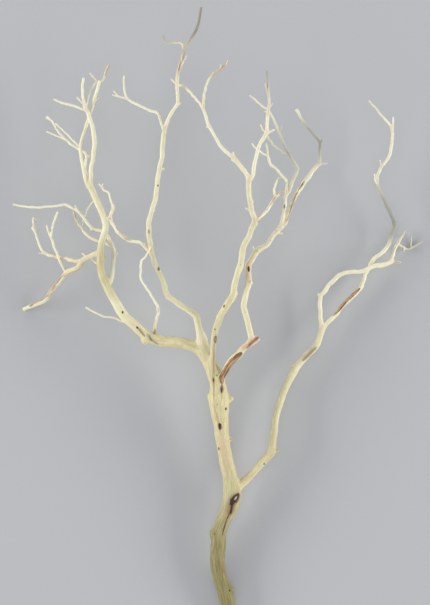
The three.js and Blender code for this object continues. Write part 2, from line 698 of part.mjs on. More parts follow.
        path: [
          [260, 543, 3.8], [263.5, 539.6, 3.6], [268, 536.5, 3.5], [273.9, 534, 3.06], [280.4, 535.8, 3],
          [287.2, 539.5, 2.8], [296.1, 545.3, 2.5],
        ],
        stubs: [[279.6, 535.8, 280.4, 555, 2.5, 1.5], [269, 536.8, 268.8, 529.2, 2.8, 0.5]],
      },
    ],
  },
  {
    node: "right_upper_arm",
    wood: WOOD,
    meets: ["right_limb", "right_outer_arm"],
    limbs: [
      {
        name: "upper arm",
        from: "right",
        rise: [19, 17, 19, 24],
        path: [
          [147, 415, 7.6], [153, 422, 6.8], [159, 428, 6.4], [166, 435.4, 6.4], [173, 444.4, 6.4],
          [180, 451.9, 6.4], [187.3, 459.2, 6.4], [195.3, 466.1, 6.2], [202, 472.7, 6.4],
          [205.8, 480.4, 6.8], [208, 489, 6.7], [211.6, 497.4, 6], [216.6, 504.8, 5.6],
          [219.6, 513.2, 5.6], [224.3, 520.6, 5.7], [232.6, 525.3, 5.6], [240.2, 532.1, 5.6],
          [245.4, 540.2, 5.5], [248.5, 548, 5.4], [251.7, 557.2, 5.3], [254.6, 566, 5.3],
          [255, 574.4, 5.5],
        ],
      },
      {
        name: "upper arm end",
        from: "upper arm",
        rise: [27, 31, 36, 40, 44],
        path: [
          [254.8, 571, 5.3], [251.8, 580.6, 5.1], [246.8, 591.6, 4.9], [240.5, 605.4, 4.7],
          [234.4, 618.2, 4.7], [229.9, 628, 4.6], [228.5, 637, 4.4], [230.3, 647, 4.3], [233.9, 656, 4.3],
          [239.4, 662.6, 4.4], [245.3, 670.2, 4.3], [249.3, 682.8, 4.3], [250.7, 694, 4.3],
          [251.6, 707, 4.4], [250.6, 716.2, 4.2], [246.6, 721.9, 3.4], [239.9, 729.7, 3.1],
          [231.7, 738.3, 3], [226.6, 745.7, 2.9], [221, 751, 2.8], [216.1, 756.8, 2.8],
        ],
        stubs: [[251.8, 714, 253, 732.8, 3, 2], [235.5, 659, 232.8, 668.4, 2.4, 1], [231, 626, 221, 630.6, 3, 0]],
      },
      {
        name: "upper arm spur",
        from: "upper arm end",
        rise: [34, 36],
        path: [[229.4, 630, 3.2], [225.6, 637, 3.1], [224.8, 646.4, 2.9]],
      },
    ],
  },
];

// Height of the axis at a share of the way, on a smooth line through the heights at equal steps.
function heightAlong(heights, share) {
  const steps = new THREE.SplineCurve(heights.map((height, step) => new THREE.Vector2(step, height)));
  return steps.getPoint(THREE.MathUtils.clamp(share, 0, 1)).y;
}

// Height of a limb's axis where it passes nearest to a point in plan.
function heightNear(axis, x, y) {
  const spots = axis.getPoints(12 * axis.points.length);
  const distance = (spot) => Math.hypot(spot.x - x, spot.y - y);
  return spots.reduce((best, spot) => (distance(spot) < distance(best) ? spot : best)).z;
}

// Axis of a limb in space: its plan, lifted to its heights.
function limbAxis(path, heights) {
  const way = [0];
  for (let i = 1; i < path.length; i += 1) {
    way.push(way[i - 1] + Math.hypot(path[i][0] - path[i - 1][0], path[i][1] - path[i - 1][1]));
  }
  const spots = path.map(([x, y], i) => new THREE.Vector3(x, y, heightAlong(heights, way[i] / way.at(-1))));
  return new THREE.CatmullRomCurve3(spots);
}

function sidesFor(diameter) {
  if (diameter >= THICK_FROM) return SIDES_OF_THICK;
  if (diameter >= LIMB_FROM) return SIDES_OF_LIMB;
  return diameter > STUB_UP_TO ? SIDES_OF_TWIG : SIDES_OF_STUB;
}

// Points of the axis between first and last that need a ring: the one that lies furthest off the straight
// line between them, in place or in diameter, and then the same on each side of it.
function bendsBetween(axis, diameters, first, last) {
  const chord = new THREE.Line3(axis.points[first], axis.points[last]);
  const near = new THREE.Vector3();
  let furthest = first;
  let most = STRAIGHT;
  for (let i = first + 1; i < last; i += 1) {
    chord.closestPointToPoint(axis.points[i], true, near);
    const share = chord.closestPointToPointParameter(axis.points[i], true);
    const swell = Math.abs(diameters[i] - THREE.MathUtils.lerp(diameters[first], diameters[last], share)) / 2;
    const off = near.distanceTo(axis.points[i]) + swell;
    if (off > most) [most, furthest] = [off, i];
  }
  if (furthest === first) return [];
  const before = bendsBetween(axis, diameters, first, furthest);
  return [...before, furthest, ...bendsBetween(axis, diameters, furthest, last)];
}

// Turned solid of a limb: a lathe profile with one ring for each bend of the axis, bent so that each ring
// stands square to the axis. The profile starts and ends on the axis; the lathe's y numbers the rings.
function limbGeometry(axis, diameters, sides, flatEnd, extra) {
  const end = diameters.length - 1;
  const spots = [0, ...bendsBetween(axis, diameters, 0, end), end];
  const last = spots.length - 1;
  const corner = Math.sqrt(1 / Math.cos(Math.PI / sides));
  const radii = spots.map((i) => (diameters[i] / 2) * corner + extra);
  const profile = [new THREE.Vector2(0, 0)];
  radii.forEach((radius, ring) => profile.push(new THREE.Vector2(radius, ring)));
  profile.push(new THREE.Vector2(0, flatEnd ? last : last + 1));

  const rings = spots.map((i) => ({ spot: axis.points[i].clone(), along: axis.getTangent(i / end) }));
  rings[0].spot.addScaledVector(rings[0].along, -extra);
  rings[last].spot.addScaledVector(rings[last].along, extra);
  const tip = rings[last].spot.clone().addScaledVector(rings[last].along, radii[last] * BLUNT);
  rings.push({ spot: tip, along: rings[last].along });

  const geometry = new THREE.LatheGeometry(profile, sides, Math.PI / sides);
  const place = geometry.attributes.position;
  const up = new THREE.Vector3(0, 0, 1);
  for (let i = 0; i < place.count; i += 1) {
    const ring = rings[Math.round(place.getY(i))];
    const side = new THREE.Vector3().crossVectors(ring.along, up).normalize();
    const top = new THREE.Vector3().crossVectors(side, ring.along);
    const spot = ring.spot.clone().addScaledVector(side, place.getX(i)).addScaledVector(top, place.getZ(i));
    place.setXYZ(i, spot.x, spot.y, spot.z);
  }
  return geometry;
}

// Closed geometry as a solid that can be joined and cut. Triangles that fold to a line at a pole are dropped.
function solidOf(geometry) {
  geometry.deleteAttribute("normal");
  geometry.deleteAttribute("uv");
  const merged = mergeVertices(geometry, 1e-4);
  const corners = merged.index.array;
  const kept = [];
  for (let i = 0; i < corners.length; i += 3) {
    const [a, b, c] = [corners[i], corners[i + 1], corners[i + 2]];
    if (a !== b && b !== c && c !== a) kept.push(a, b, c);
  }
  return new wasm.Manifold(new wasm.Mesh({
    numProp: 3,
    vertProperties: new Float32Array(merged.attributes.position.array),
    triVerts: new Uint32Array(kept),
  }));
}

// A broken twig: two rings on a straight axis that starts inside the limb.
function stubSolid([fromX, fromY, toX, toY, diameter, lift], carrier, extra) {
  const height = heightNear(carrier, fromX, fromY);
  const axis = new THREE.CatmullRomCurve3([
    new THREE.Vector3(fromX, fromY, height),
    new THREE.Vector3(toX, toY, height + lift),
  ]);
  const diameters = [diameter, diameter * STUB_TAPER];
  const sides = diameter > LIMB_FROM ? SIDES_OF_LIMB : SIDES_OF_STUB;
  return solidOf(limbGeometry(axis, diameters, sides, false, extra));
}

const axes = {};
for (const { limbs } of NODES) {
  for (const limb of limbs) {
    const [x, y] = limb.path[0];
    const root = limb.from ? heightNear(axes[limb.from], x, y) : limb.rootHeight;
    axes[limb.name] = limbAxis(limb.path, [root, ...limb.rise]);
  }
}

// A node's limbs and stubs joined, each made thicker by extra all round.
function nodeSolid({ limbs }, extra) {
  const solids = [];
  for (const limb of limbs) {
    const axis = axes[limb.name];
    const diameters = limb.path.map((point) => point[2]);
    const sides = sidesFor(Math.max(...diameters));
    solids.push(solidOf(limbGeometry(axis, diameters, sides, limb.end === "flat", extra)));
    for (const stub of limb.stubs ?? []) solids.push(stubSolid(stub, axis, extra));
  }
  return solids.reduce((whole, solid) => whole.add(solid));
}

function meshOf(solid, name, wood) {
  const { vertProperties, triVerts } = solid.getMesh();
  const geometry = new THREE.BufferGeometry();
  geometry.setAttribute("position", new THREE.BufferAttribute(vertProperties, 3));
  geometry.setIndex(new THREE.BufferAttribute(triVerts, 1));
  geometry.computeVertexNormals();
  const mesh = new THREE.Mesh(geometry, new THREE.MeshStandardMaterial(wood));
  mesh.name = name;
  return mesh;
}

const branch = new THREE.Group();
const grown = {};
for (const entry of NODES) {
  let solid = nodeSolid(entry, 0);
  for (const other of entry.meets ?? []) {
    grown[other] ??= nodeSolid(NODES.find(({ node }) => node === other), FORK_GAP);
    solid = solid.subtract(grown[other]);
  }
  branch.add(meshOf(solid, entry.node, entry.wood));
}
branch.position.set(-PLAN_MIDDLE.x, -PLAN_MIDDLE.y, 0);

export default branch;
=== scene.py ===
import bpy
import numpy as np
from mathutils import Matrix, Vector


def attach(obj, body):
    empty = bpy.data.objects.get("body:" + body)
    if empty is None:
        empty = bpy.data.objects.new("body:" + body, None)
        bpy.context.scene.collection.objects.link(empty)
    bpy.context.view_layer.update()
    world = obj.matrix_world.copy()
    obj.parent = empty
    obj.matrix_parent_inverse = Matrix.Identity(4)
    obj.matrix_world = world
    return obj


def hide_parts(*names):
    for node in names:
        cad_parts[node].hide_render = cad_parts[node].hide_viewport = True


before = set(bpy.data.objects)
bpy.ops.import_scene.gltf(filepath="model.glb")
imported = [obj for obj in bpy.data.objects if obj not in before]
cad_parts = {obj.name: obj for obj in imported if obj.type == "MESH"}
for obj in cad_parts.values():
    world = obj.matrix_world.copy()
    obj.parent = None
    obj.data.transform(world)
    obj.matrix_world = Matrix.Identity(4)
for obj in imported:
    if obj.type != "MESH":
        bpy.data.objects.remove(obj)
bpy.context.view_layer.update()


# ---- Lower trunk ----
# The foot of the branch, sawn off square across and sanded like all the rest, but greyer and duller in tone.
# It is solid manzanita wood, and every other piece grew out of it, so one skin of wood runs over each fork.

PLAN_MIDDLE = np.array([-11.16, 442.77, 0])  # middle of the branch in its drawing; all lengths are in mm
RING_GAP, THICK_RING_GAP = 1.0, 0.8  # between two rings of a limb's skin, and the same on a thick limb
THICK_FROM = 6  # radius of a thick limb at its foot
DRAWN = 12  # places that are worked out for each point of a limb's path
GIVE = 0.5  # how softly a limb bends
KINKS = ((8, 7), (5, 4))  # length of a kink: so many mm, and so many times the limb's radius
KINK_THROW = (0.11, 0.02)  # how far a kink throws the limb, in the same way
FULL_TURN = 6.28  # in radians
KINK_SEED, RELIEF_SEED, TORN_SEED = 900, 100, 500  # first number of each kind of chance, one for each limb
FILLET = 0.7  # reach of the web in a fork, as a share of the thinner limb's radius
KNOB_FROM = 4.3  # smallest diameter of a stub that was sanded round
STUB_ENDS = {"knob": (1.08, 0.9), "broken": (0.8, 1.6)}  # a stub's end and its web, as shares of its foot
STUB_CUT = 0.3  # how much shorter a stub is before its rounded tip is put on
MARK_GAP = 0.6  # between two spots of a mark
limbs = {}  # every limb and broken twig by name, in the order in which they grow
marks = []  # knots, cracks, stains and patches of bark


def curve(points, steps, spots, give=1.0):
    """Line at spots, counted in points. Between two points it is a cubic whose slope at each is that of the
    parabola through the point and its neighbours, steps being the way between points, times give: 1 bends
    softly and 0 goes straight from point to point. The first and last points only give slopes."""
    before, after = np.diff(points, axis=0)[:-1], np.diff(points, axis=0)[1:]
    a, b = steps[:-1, None], steps[1:, None]
    slope = give * (before / a - (before + after) / (a + b) + after / b)
    span = np.clip(spots.astype(int), 0, len(points) - 4)
    u, step = (spots - span)[:, None], steps[span + 1][:, None]
    return (
        (1 + 2 * u) * (1 - u) ** 2 * points[span + 1]
        + u * u * (3 - 2 * u) * points[span + 2]
        + u * (1 - u) ** 2 * step * slope[span]
        - u * u * (1 - u) * step * slope[span + 1]
    )


def nearest_ring(name, x, y):
    """Number of the ring of a limb whose middle lies nearest to a point in plan."""
    axis = limbs[name]["axis"]
    return np.argmin(np.hypot(axis[:, 0] - x, axis[:, 1] - y))


def along_limb(values, share):
    """Values that stand at even shares of a limb's way, read at a share between them on straight lines."""
    return np.interp(share, np.linspace(0, 1, len(values)), values)


def add_limb(name, node, line, web, tip, tones, carried, follows=None):
    """Keeps a limb as rings at even steps on its axis: x, y, height and radius. carried is the radius of the
    wood that it grows from. A limb that follows another one goes on with its grain where the two meet."""
    way = np.append(0, np.cumsum(np.linalg.norm(np.diff(line[:, :3], axis=0), axis=1)))
    gap = RING_GAP if line[0, 3] < THICK_FROM else THICK_RING_GAP
    along = np.linspace(0, way[-1], max(int(np.ceil(way[-1] / gap)), 3) + 1)
    axis = np.column_stack([np.interp(along, way, column) for column in line.T])
    # no wood grows quite even: the axis is thrown a little to and fro, in kinks, and is true at both ends
    chance = np.random.default_rng(KINK_SEED + len(limbs))
    thick = np.median(axis[:, 3])
    near_ends = np.clip(np.minimum(along, way[-1] - along) / (3 + 2 * thick), 0, 1)
    for length, by_radius in KINKS:
        waves = along / (length + by_radius * thick) / chance.uniform(0.8, 1.4)
        swing = np.arcsin(np.sin(FULL_TURN * waves + chance.uniform(0, FULL_TURN)))
        throw = (KINK_THROW[0] + KINK_THROW[1] * thick) * near_ends * swing
        axis[:, :3] += throw[:, None] * chance.uniform(-1.5, 1.5, 3) * (1, 1, 0.6)
    grain = (len(limbs), 0.0)
    if follows:
        passed = np.linalg.norm(limbs[follows]["axis"][:, :3] - axis[0, :3], axis=1).argmin()
        grain = (limbs[follows]["grain"][0], limbs[follows]["grain"][1] + limbs[follows]["along"][passed])
    limbs[name] = {
        "node": node, "axis": axis, "along": along, "web": web, "tip": tip, "tones": tones, "grain": grain,
        "number": len(limbs), "carried": carried,
    }


def grow(node, name, carrier, rise, path, stubs=(), root=None, fillet=FILLET, follows=False, **tones):
    """A limb on its plan (x, y, diameter), lifted to heights that stand at equal shares of its way. Each stub
    is a broken twig from x, y to x, y, with the diameter of its foot and how far it rises. Tones of the wood,
    such as dull or warm, are given as strengths at equal shares of its way."""
    plan = np.array(path, float)
    height, carried = root, plan[0, 2] / 2
    if carrier is not None:
        height, carried = limbs[carrier]["axis"][nearest_ring(carrier, *plan[0, :2]), 2:]
    way = np.append(0, np.cumsum(np.hypot(*np.diff(plan[:, :2], axis=0).T)))
    heights = np.array([height, height, *rise, rise[-1]], float)[:, None]
    lift = curve(heights, np.ones(len(heights) - 1), way / way[-1] * (len(heights) - 3))
    points = np.column_stack([plan[:, :2], lift, plan[:, 2] / 2])
    points = np.vstack([2 * points[0] - points[1], points, 2 * points[-1] - points[-2]])
    steps = np.sqrt(np.linalg.norm(np.diff(points[:, :3], axis=0), axis=1))
    line = curve(points, steps, np.linspace(0, len(plan) - 1, DRAWN * len(plan)), GIVE)
    tip = "sawn" if carrier is None else "blunt"
    web = fillet * np.median(line[: 2 * DRAWN, 3])
    add_limb(name, node, line, web, tip, tones, carried, carrier if follows else None)
    for number, (x0, y0, x1, y1, diameter, lifted) in enumerate(stubs, 1):
        axis, ring = limbs[name]["axis"], nearest_ring(name, x0, y0)
        foot, carried = axis[ring, 2:]
        here = {tone: [along_limb(values, ring / len(axis))] for tone, values in tones.items()}
        tip = "knob" if diameter > KNOB_FROM else "broken"
        end, web = STUB_ENDS[tip]
        line = np.array([[x0, y0, foot, diameter / 2], [x1, y1, foot + lifted, end * diameter / 2]])
        cut = min(STUB_CUT, STUB_CUT * diameter / np.hypot(x1 - x0, y1 - y0))
        line[1, :3] -= cut * (line[1, :3] - line[0, :3])
        add_limb(f"{name} stub {number}", node, line, web * diameter / 2, tip, here, carried)


def mark(kind, name, line, width, depth=0.0, strength=1.0, taper=0.5):
    """A mark on the upper side of a limb: its line in plan is laid on the wood, and it narrows to both ends
    of the line as a sine does, raised to the power taper. depth is how far it is sunk."""
    corners = np.array(line, float)
    way = np.append(0, np.cumsum(np.hypot(*np.diff(corners, axis=0).T)))
    along = np.linspace(0, way[-1], int(way[-1] / MARK_GAP) + 2)
    spots = []
    for x, y in zip(np.interp(along, way, corners[:, 0]), np.interp(along, way, corners[:, 1])):
        ring = limbs[name]["axis"][nearest_ring(name, x, y)]
        off = min(np.hypot(ring[0] - x, ring[1] - y), 0.95 * ring[3])
        spots.append((x, y, ring[2] + np.sqrt(ring[3] ** 2 - off**2)))
    half = width / 2 * np.sin(np.pi * (along + MARK_GAP) / (way[-1] + 2 * MARK_GAP)) ** taper
    marks.append({"kind": kind, "spots": np.array(spots), "half": half, "depth": depth, "strength": strength})


grow("lower_trunk", "trunk foot", None, rise=[17, 25, 33], path=[
    (5.8, -9, 22.4), (4.3, 0, 22.4), (-0.5, 22, 22.6), (-7.7, 42, 21.8), (-11.4, 66, 21.6), (-10.2, 90, 22.2),
    (-8.8, 106, 22.8), (-3.8, 121, 22.4), (2.6, 137, 22.8), (8.6, 152, 26), (11.2, 165, 27.6), (9, 186, 22.2),
], stubs=[(2, 22, 12.2, 21.5, 9, 0), (-9, 106, -21, 106.6, 12, 0)], root=10.91, dull=(1, 1, 0.92, 0.6, 0.22))

mark("stain", "trunk foot", [(6, 134), (9, 146), (13, 160)], 13, 0, 0.7)
mark("stain", "trunk foot", [(8, 136), (10.5, 148), (13, 156)], 8, 0.3, 1)
mark("knot", "trunk foot", [(8.4, 150.6), (20.8, 165.4)], 11, 1.4)
mark("heart", "trunk foot", [(14.2, 156.4), (19.6, 163.6)], 3.7)
mark("knot", "trunk foot", [(7.6, 134), (9.4, 142), (11.5, 153)], 4.6, 0.5, 0.85, 1)
mark("knot", "trunk foot", [(-4.6, 103), (1.9, 125), (8.8, 142)], 2.4, 0.4, 0.7, 0.3)
mark("grey", "trunk foot", [(2, 104), (9, 128)], 8, 0, 0.5)
mark("stain", "trunk foot", [(-4, 47), (-2.7, 56), (-2.8, 65)], 2.6, 0, 0.8)
mark("knot", "trunk foot", [(6.4, 20.6), (7.6, 20.6)], 2.6, 0.5)
mark("knot", "trunk foot", [(-16, 106), (-15.4, 106.4)], 1.7, 0.3)


def noise(tree, vector, stretch, detail=3.0, roughness=0.55):
    """Soft random pattern whose size is set by how much the place is stretched in each direction."""
    scaled = tree.nodes.new("ShaderNodeVectorMath")
    scaled.operation = "MULTIPLY"
    scaled.inputs[1].default_value = stretch
    tree.links.new(vector, scaled.inputs[0])
    node = tree.nodes.new("ShaderNodeTexNoise")
    node.inputs["Scale"].default_value = 1.0
    node.inputs["Detail"].default_value = detail
    node.inputs["Roughness"].default_value = roughness
    tree.links.new(scaled.outputs[0], node.inputs["Vector"])
    return node.outputs["Fac"]


def sums(tree, operation, a, b=None):
    """One arithmetic step between two sockets or numbers."""
    node = tree.nodes.new("ShaderNodeMath")
    node.operation = operation
    for socket, value in zip(node.inputs, (a, b)):
        if hasattr(value, "is_output"):
            tree.links.new(value, socket)
        elif value is not None:
            socket.default_value = value
    return node.outputs[0]


def times(tree, a, b):
    """a multiplied by b."""
    return sums(tree, "MULTIPLY", a, b)


def plus(tree, a, b, share=1.0):
    """a, with a share of b added to it."""
    return sums(tree, "ADD", a, b if share == 1 else times(tree, b, share))


def ramp(tree, value, low, high, start=0.0, end=1.0):
    """Smooth step of a value: start below low, end above high."""
    node = tree.nodes.new("ShaderNodeMapRange")
    node.interpolation_type = "SMOOTHSTEP"
    tree.links.new(value, node.inputs["Value"])
    for socket, number in (("From Min", low), ("From Max", high), ("To Min", start), ("To Max", end)):
        node.inputs[socket].default_value = number
    return node.outputs["Result"]


def tint(tree, share, under, over):
    """Colour under, covered by the colour over to a share."""
    node = tree.nodes.new("ShaderNodeMix")
    node.data_type = "RGBA"
    tree.links.new(share, node.inputs[0])
    for socket, colour in ((node.inputs[6], under), (node.inputs[7], over)):
        if hasattr(colour, "is_output"):
            tree.links.new(colour, socket)
        else:
            socket.default_value = (*colour, 1)
    return node.outputs[2]


RING_RADIANS = 5200  # of a sine in a metre: a ring of the end grain about every 1.2 mm


def grain_effect():
    """Group with the patterns of manzanita wood: streaks and fibres that run along the limb, soft blotches,
    small dark flecks, the ragged edge of bark, the rings of the end grain, and remnants of inner bark."""
    tree = bpy.data.node_groups.new("manzanita_grain", "ShaderNodeTree")
    for name in ("Straight", "Place"):
        tree.interface.new_socket(name, in_out="INPUT", socket_type="NodeSocketVector")
    for name in ("Streaks", "Fibres", "Blotches", "Flecks", "Ragged", "Rings", "Remnants"):
        tree.interface.new_socket(name, in_out="OUTPUT", socket_type="NodeSocketFloat")
    straight, place = tree.nodes.new("NodeGroupInput").outputs[:2]
    split = tree.nodes.new("ShaderNodeSeparateXYZ")
    tree.links.new(straight, split.inputs[0])
    x, y = (sums(tree, "POWER", socket, 2) for socket in split.outputs[:2])
    off_centre = sums(tree, "SQRT", plus(tree, x, y))
    wobble = noise(tree, straight, (260, 260, 40))
    ring = sums(tree, "SINE", plus(tree, times(tree, off_centre, RING_RADIANS), wobble, 9))
    patterns = {
        "Streaks": ramp(tree, noise(tree, straight, (460, 460, 46), 4.0, 0.6), 0.36, 0.64),
        "Fibres": noise(tree, straight, (2300, 2300, 90), 4.0, 0.6),
        "Blotches": ramp(tree, noise(tree, place, (120, 120, 120), 5.0, 0.7), 0.42, 0.64),
        "Flecks": ramp(tree, noise(tree, straight, (420, 420, 150), 2.0), 0.68, 0.76),
        "Ragged": sums(tree, "SUBTRACT", noise(tree, straight, (520, 520, 170), 4.0, 0.65), 0.5),
        "Rings": ramp(tree, ring, -0.6, 0.9),
        "Remnants": ramp(tree, noise(tree, straight, (240, 240, 60), 4.0, 0.6), 0.4, 0.6),
    }
    output = tree.nodes.new("NodeGroupOutput")
    for name, value in patterns.items():
        tree.links.new(value, output.inputs[name])
    return tree


grain = grain_effect()
CREAM, STREAK, PALE = (0.76, 0.70, 0.388), (0.63, 0.56, 0.286), (0.88, 0.84, 0.62)
PINKISH, BLUSH, WARM = (0.60, 0.46, 0.32), (0.66, 0.44, 0.30), (0.52, 0.315, 0.14)
DULL, GREY = (0.178, 0.152, 0.038), (0.27, 0.265, 0.215)
STAIN, KNOT, HEART = (0.24, 0.125, 0.06), (0.040, 0.017, 0.007), (0.56, 0.49, 0.32)
BARK, BARK_LIGHT, BARK_EDGE = (0.20, 0.095, 0.055), (0.55, 0.345, 0.175), (0.12, 0.06, 0.03)
RING_LIGHT, RING_DARK = (0.57, 0.45, 0.29), (0.43, 0.29, 0.17)
BARK_ROUGHNESS = 0.92


def wood_material(name, blotchy, flecked, roughness):
    """Sanded manzanita: cream wood with tan streaks, under its tones, stains, bark, knots and end grain."""
    material = bpy.data.materials.new(name)
    material.use_nodes = True
    tree = material.node_tree
    shader = tree.nodes["Principled BSDF"]
    pattern = tree.nodes.new("ShaderNodeGroup")
    pattern.node_tree = grain
    tree.links.new(tree.nodes.new("ShaderNodeTexCoord").outputs["Object"], pattern.inputs["Place"])
    values = []
    for layer in ("straight", "marks", "tones", "extras", "shade"):
        node = tree.nodes.new("ShaderNodeAttribute")
        node.attribute_name = layer
        if layer == "straight":
            tree.links.new(node.outputs["Vector"], pattern.inputs["Straight"])
            continue
        split = tree.nodes.new("ShaderNodeSeparateXYZ")
        tree.links.new(node.outputs["Vector"], split.inputs[0])
        values += split.outputs[:3]
    bark, knot, stain, dull, grey, warm, end, heart, blush, pale, fork, _ = values
    streaks, fibres, blotches, flecks, ragged, rings, remnants = pattern.outputs[:7]

    # edges of bark, knots and stains are ragged along the grain, and a knot has a brown halo
    whole_bark = ramp(tree, plus(tree, bark, ragged, 0.55), 0.42, 0.56)
    torn_knot = plus(tree, knot, ragged, 0.8)
    whole_knot = ramp(tree, torn_knot, 0.38, 0.72)
    halo = ramp(tree, torn_knot, 0.06, 0.5, 0, 0.7)
    soft_stain = ramp(tree, plus(tree, stain, ragged, 0.5), 0.05, 0.95)
    bark_colour = tint(tree, ramp(tree, streaks, 0.1, 0.9), BARK, BARK_LIGHT)
    bark_colour = tint(tree, ramp(tree, bark, 0.5, 0.72, 0.75, 0), bark_colour, BARK_EDGE)
    colour = CREAM
    for share, cover in (
        (streaks, STREAK),
        (times(tree, blotches, blotchy), PINKISH),
        # paler on thin limbs, and painted light on the side limb where the bow shades it
        (times(tree, pale, 0.85), PALE),
        (times(tree, times(tree, fork, pale), ramp(tree, streaks, 0, 1, 0.06, 0.34)), BLUSH),
        (times(tree, dull, ramp(tree, streaks, 0, 1, 0.8, 0.94)), DULL),
        (grey, GREY),
        (times(tree, warm, ramp(tree, remnants, 0, 1, 0.15, 1)), WARM),
        (times(tree, flecks, flecked), STAIN),
        (blush, BLUSH),
        (sums(tree, "MAXIMUM", soft_stain, halo), STAIN),
        (whole_bark, bark_colour),
        (whole_knot, KNOT),
        (ramp(tree, heart, 0.35, 0.75), HEART),
        (end, tint(tree, rings, RING_LIGHT, RING_DARK)),
    ):
        colour = tint(tree, share, colour, cover)
    tree.links.new(colour, shader.inputs["Base Color"])
    rough = ramp(tree, plus(tree, streaks, whole_bark), 0, 2, roughness, BARK_ROUGHNESS)
    tree.links.new(rough, shader.inputs["Roughness"])
    height = plus(tree, plus(tree, times(tree, fibres, 0.5), streaks, 0.35), whole_bark)
    height = sums(tree, "SUBTRACT", height, times(tree, whole_knot, 1.2))
    bump = tree.nodes.new("ShaderNodeBump")
    bump.inputs["Strength"].default_value = 0.5
    bump.inputs["Distance"].default_value = 0.0003
    tree.links.new(height, bump.inputs["Height"])
    tree.links.new(bump.outputs["Normal"], shader.inputs["Normal"])
    return material


FINISHES = {
    "sanded_wood": wood_material("sanded_manzanita", 0.4, 0.35, 0.58),
    "darker_wood": wood_material("manzanita_with_bark", 0.5, 0.7, 0.62),
}


def piece(node, slot):
    """The visible wood of one node. Its skin is laid over it at the end, when all limbs are known."""
    wood = bpy.data.objects.new(node + "_skin", bpy.data.meshes.new(node + "_skin"))
    bpy.context.scene.collection.objects.link(wood)
    wood.data.materials.append(FINISHES[slot])
    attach(wood, "root")
    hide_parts(node)


piece("lower_trunk", "darker_wood")


# ---- Upper trunk ----
# The trunk goes on to the crotch, paler than its foot. A collar of three broken stubs was sanded round, and a
# dark knot hole has drawn a brown groove up the grain.

grow("upper_trunk", "trunk", "trunk foot", rise=[39, 46, 53, 58], path=[
    (9.8, 178, 23), (5.9, 200, 21.6), (2.1, 216, 21), (-1.6, 232, 20.6), (-3.7, 250, 21), (-5.6, 269, 22.6),
    (-8, 283, 26), (-8.3, 295, 28.6), (-9.2, 306, 29.8), (-9.5, 316, 28.2), (-10.4, 327, 24.4),
    (-13, 338, 22), (-17, 350, 20.6),
], stubs=[(-4, 303, 10.8, 311.6, 9.6, 2), (-12, 310, -25.4, 313, 9.4, 0), (0, 248, 10.2, 249.4, 6.2, 1)],
    fillet=0.1, follows=True, dull=(0.22, 0.12, 0.08, 0.04))

mark("knot", "trunk", [(-7.4, 263.6), (-7.9, 272)], 4.8, 1.2)
mark("stain", "trunk", [(-7.5, 258), (-9, 274), (-12, 279), (-15, 292), (-16.6, 312)], 4, 0.1, 0.42, 0.25)
mark("stain", "trunk", [(-16.6, 308), (-17, 325), (-16.6, 350)], 4, 0.15, 0.6, 0.25)
mark("stain", "trunk stub 3", [(8.6, 248.7), (10.4, 249.3)], 6, 0, 0.5)
mark("blush", "trunk", [(3, 196), (-3, 226), (-5, 254)], 14, 0, 0.38)
mark("blush", "trunk", [(-14, 262), (-20, 290), (-22, 306)], 5, 0, 0.4)
mark("blush", "trunk", [(-4.5, 249), (-8, 268), (-11.5, 291)], 6.5, 0, 0.3)
mark("stain", "trunk", [(-8, 272), (-11, 283), (-15, 296), (-16.8, 312)], 2, 0.1, 0.55, 0.3)
mark("stain", "trunk", [(-17.1, 332.4), (-17.1, 344.6)], 3.4, 0.4, 1)
mark("knot", "trunk", [(-17, 335), (-17, 342.4)], 2.2, 0.3, 0.85)
mark("stain", "trunk", [(-17, 320), (-17.1, 346)], 3, 0.1, 0.6)
mark("knot", "trunk", [(1.2, 293.4), (1.9, 294.8)], 3.4, 0.5)
mark("stain", "trunk", [(-11.4, 299.6), (-11.2, 302.4)], 2.4, 0.2, 0.7)
mark("knot", "trunk", [(-9.3, 233), (-9.3, 235.4)], 3, 0.4, 0.8)
mark("stain", "trunk", [(-5.2, 317.4), (-4.6, 331)], 5.4, 0.8, 1, 0.9)
mark("knot", "trunk", [(-5.2, 318.6), (-5.4, 329)], 3.2, 0.3, 0.85)
mark("stain", "trunk", [(-4.2, 306), (-4.6, 322)], 1.8, 0.1, 0.5)
mark("knot", "trunk", [(-12.2, 343.8), (-12.2, 345)], 2.9, 0.4)
mark("blush", "trunk", [(-19.8, 330), (-19.8, 343)], 3.4, 0, 0.8)
piece("upper_trunk", "sanded_wood")


# ---- Middle limb and its ends ----
# The long limb that goes on from the crotch and forks far out in two ends of thin twigs, with a hooked twig
# on its right. Twigs broke off along it and were sanded to short stubs.

grow("middle_limb", "middle", "trunk", rise=[73, 87, 104, 118, 129, 138], path=[
    (-13, 316, 8), (-15, 331, 9.4), (-17, 346, 11.6), (-17.8, 362, 10.2), (-17.9, 381, 9), (-16.4, 400, 9.4),
    (-13.2, 416.5, 10.4), (-7.2, 432.2, 10.6), (1, 446.8, 11), (8.4, 458.6, 11.2), (12.8, 466.6, 10.6),
    (13.9, 476, 9.6), (15.9, 487.4, 9.4), (19.5, 499.2, 9.4), (23.4, 511, 9.4), (25.5, 522, 9.2),
    (26.4, 534, 9.6), (30.2, 542.6, 8.8), (35.3, 552, 8.2), (39.6, 562.6, 8.4), (43.6, 572.5, 9),
    (44.4, 579, 8.4), (42.6, 584, 7.8), (39.2, 592, 7), (38.2, 602.6, 7.8), (36, 613.5, 7.8),
    (35.2, 625.5, 8), (35.8, 637.5, 7.9),
], stubs=[
    (12, 467, 18.6, 467, 4.5, 0), (43, 572, 48.4, 569.4, 4, 0), (38, 603, 41.8, 605.4, 4, 0),
    (36, 593, 30.2, 595, 3, 2),
], dull=(0.3, 0.22, 0.04, 0, 0.12, 0.08))

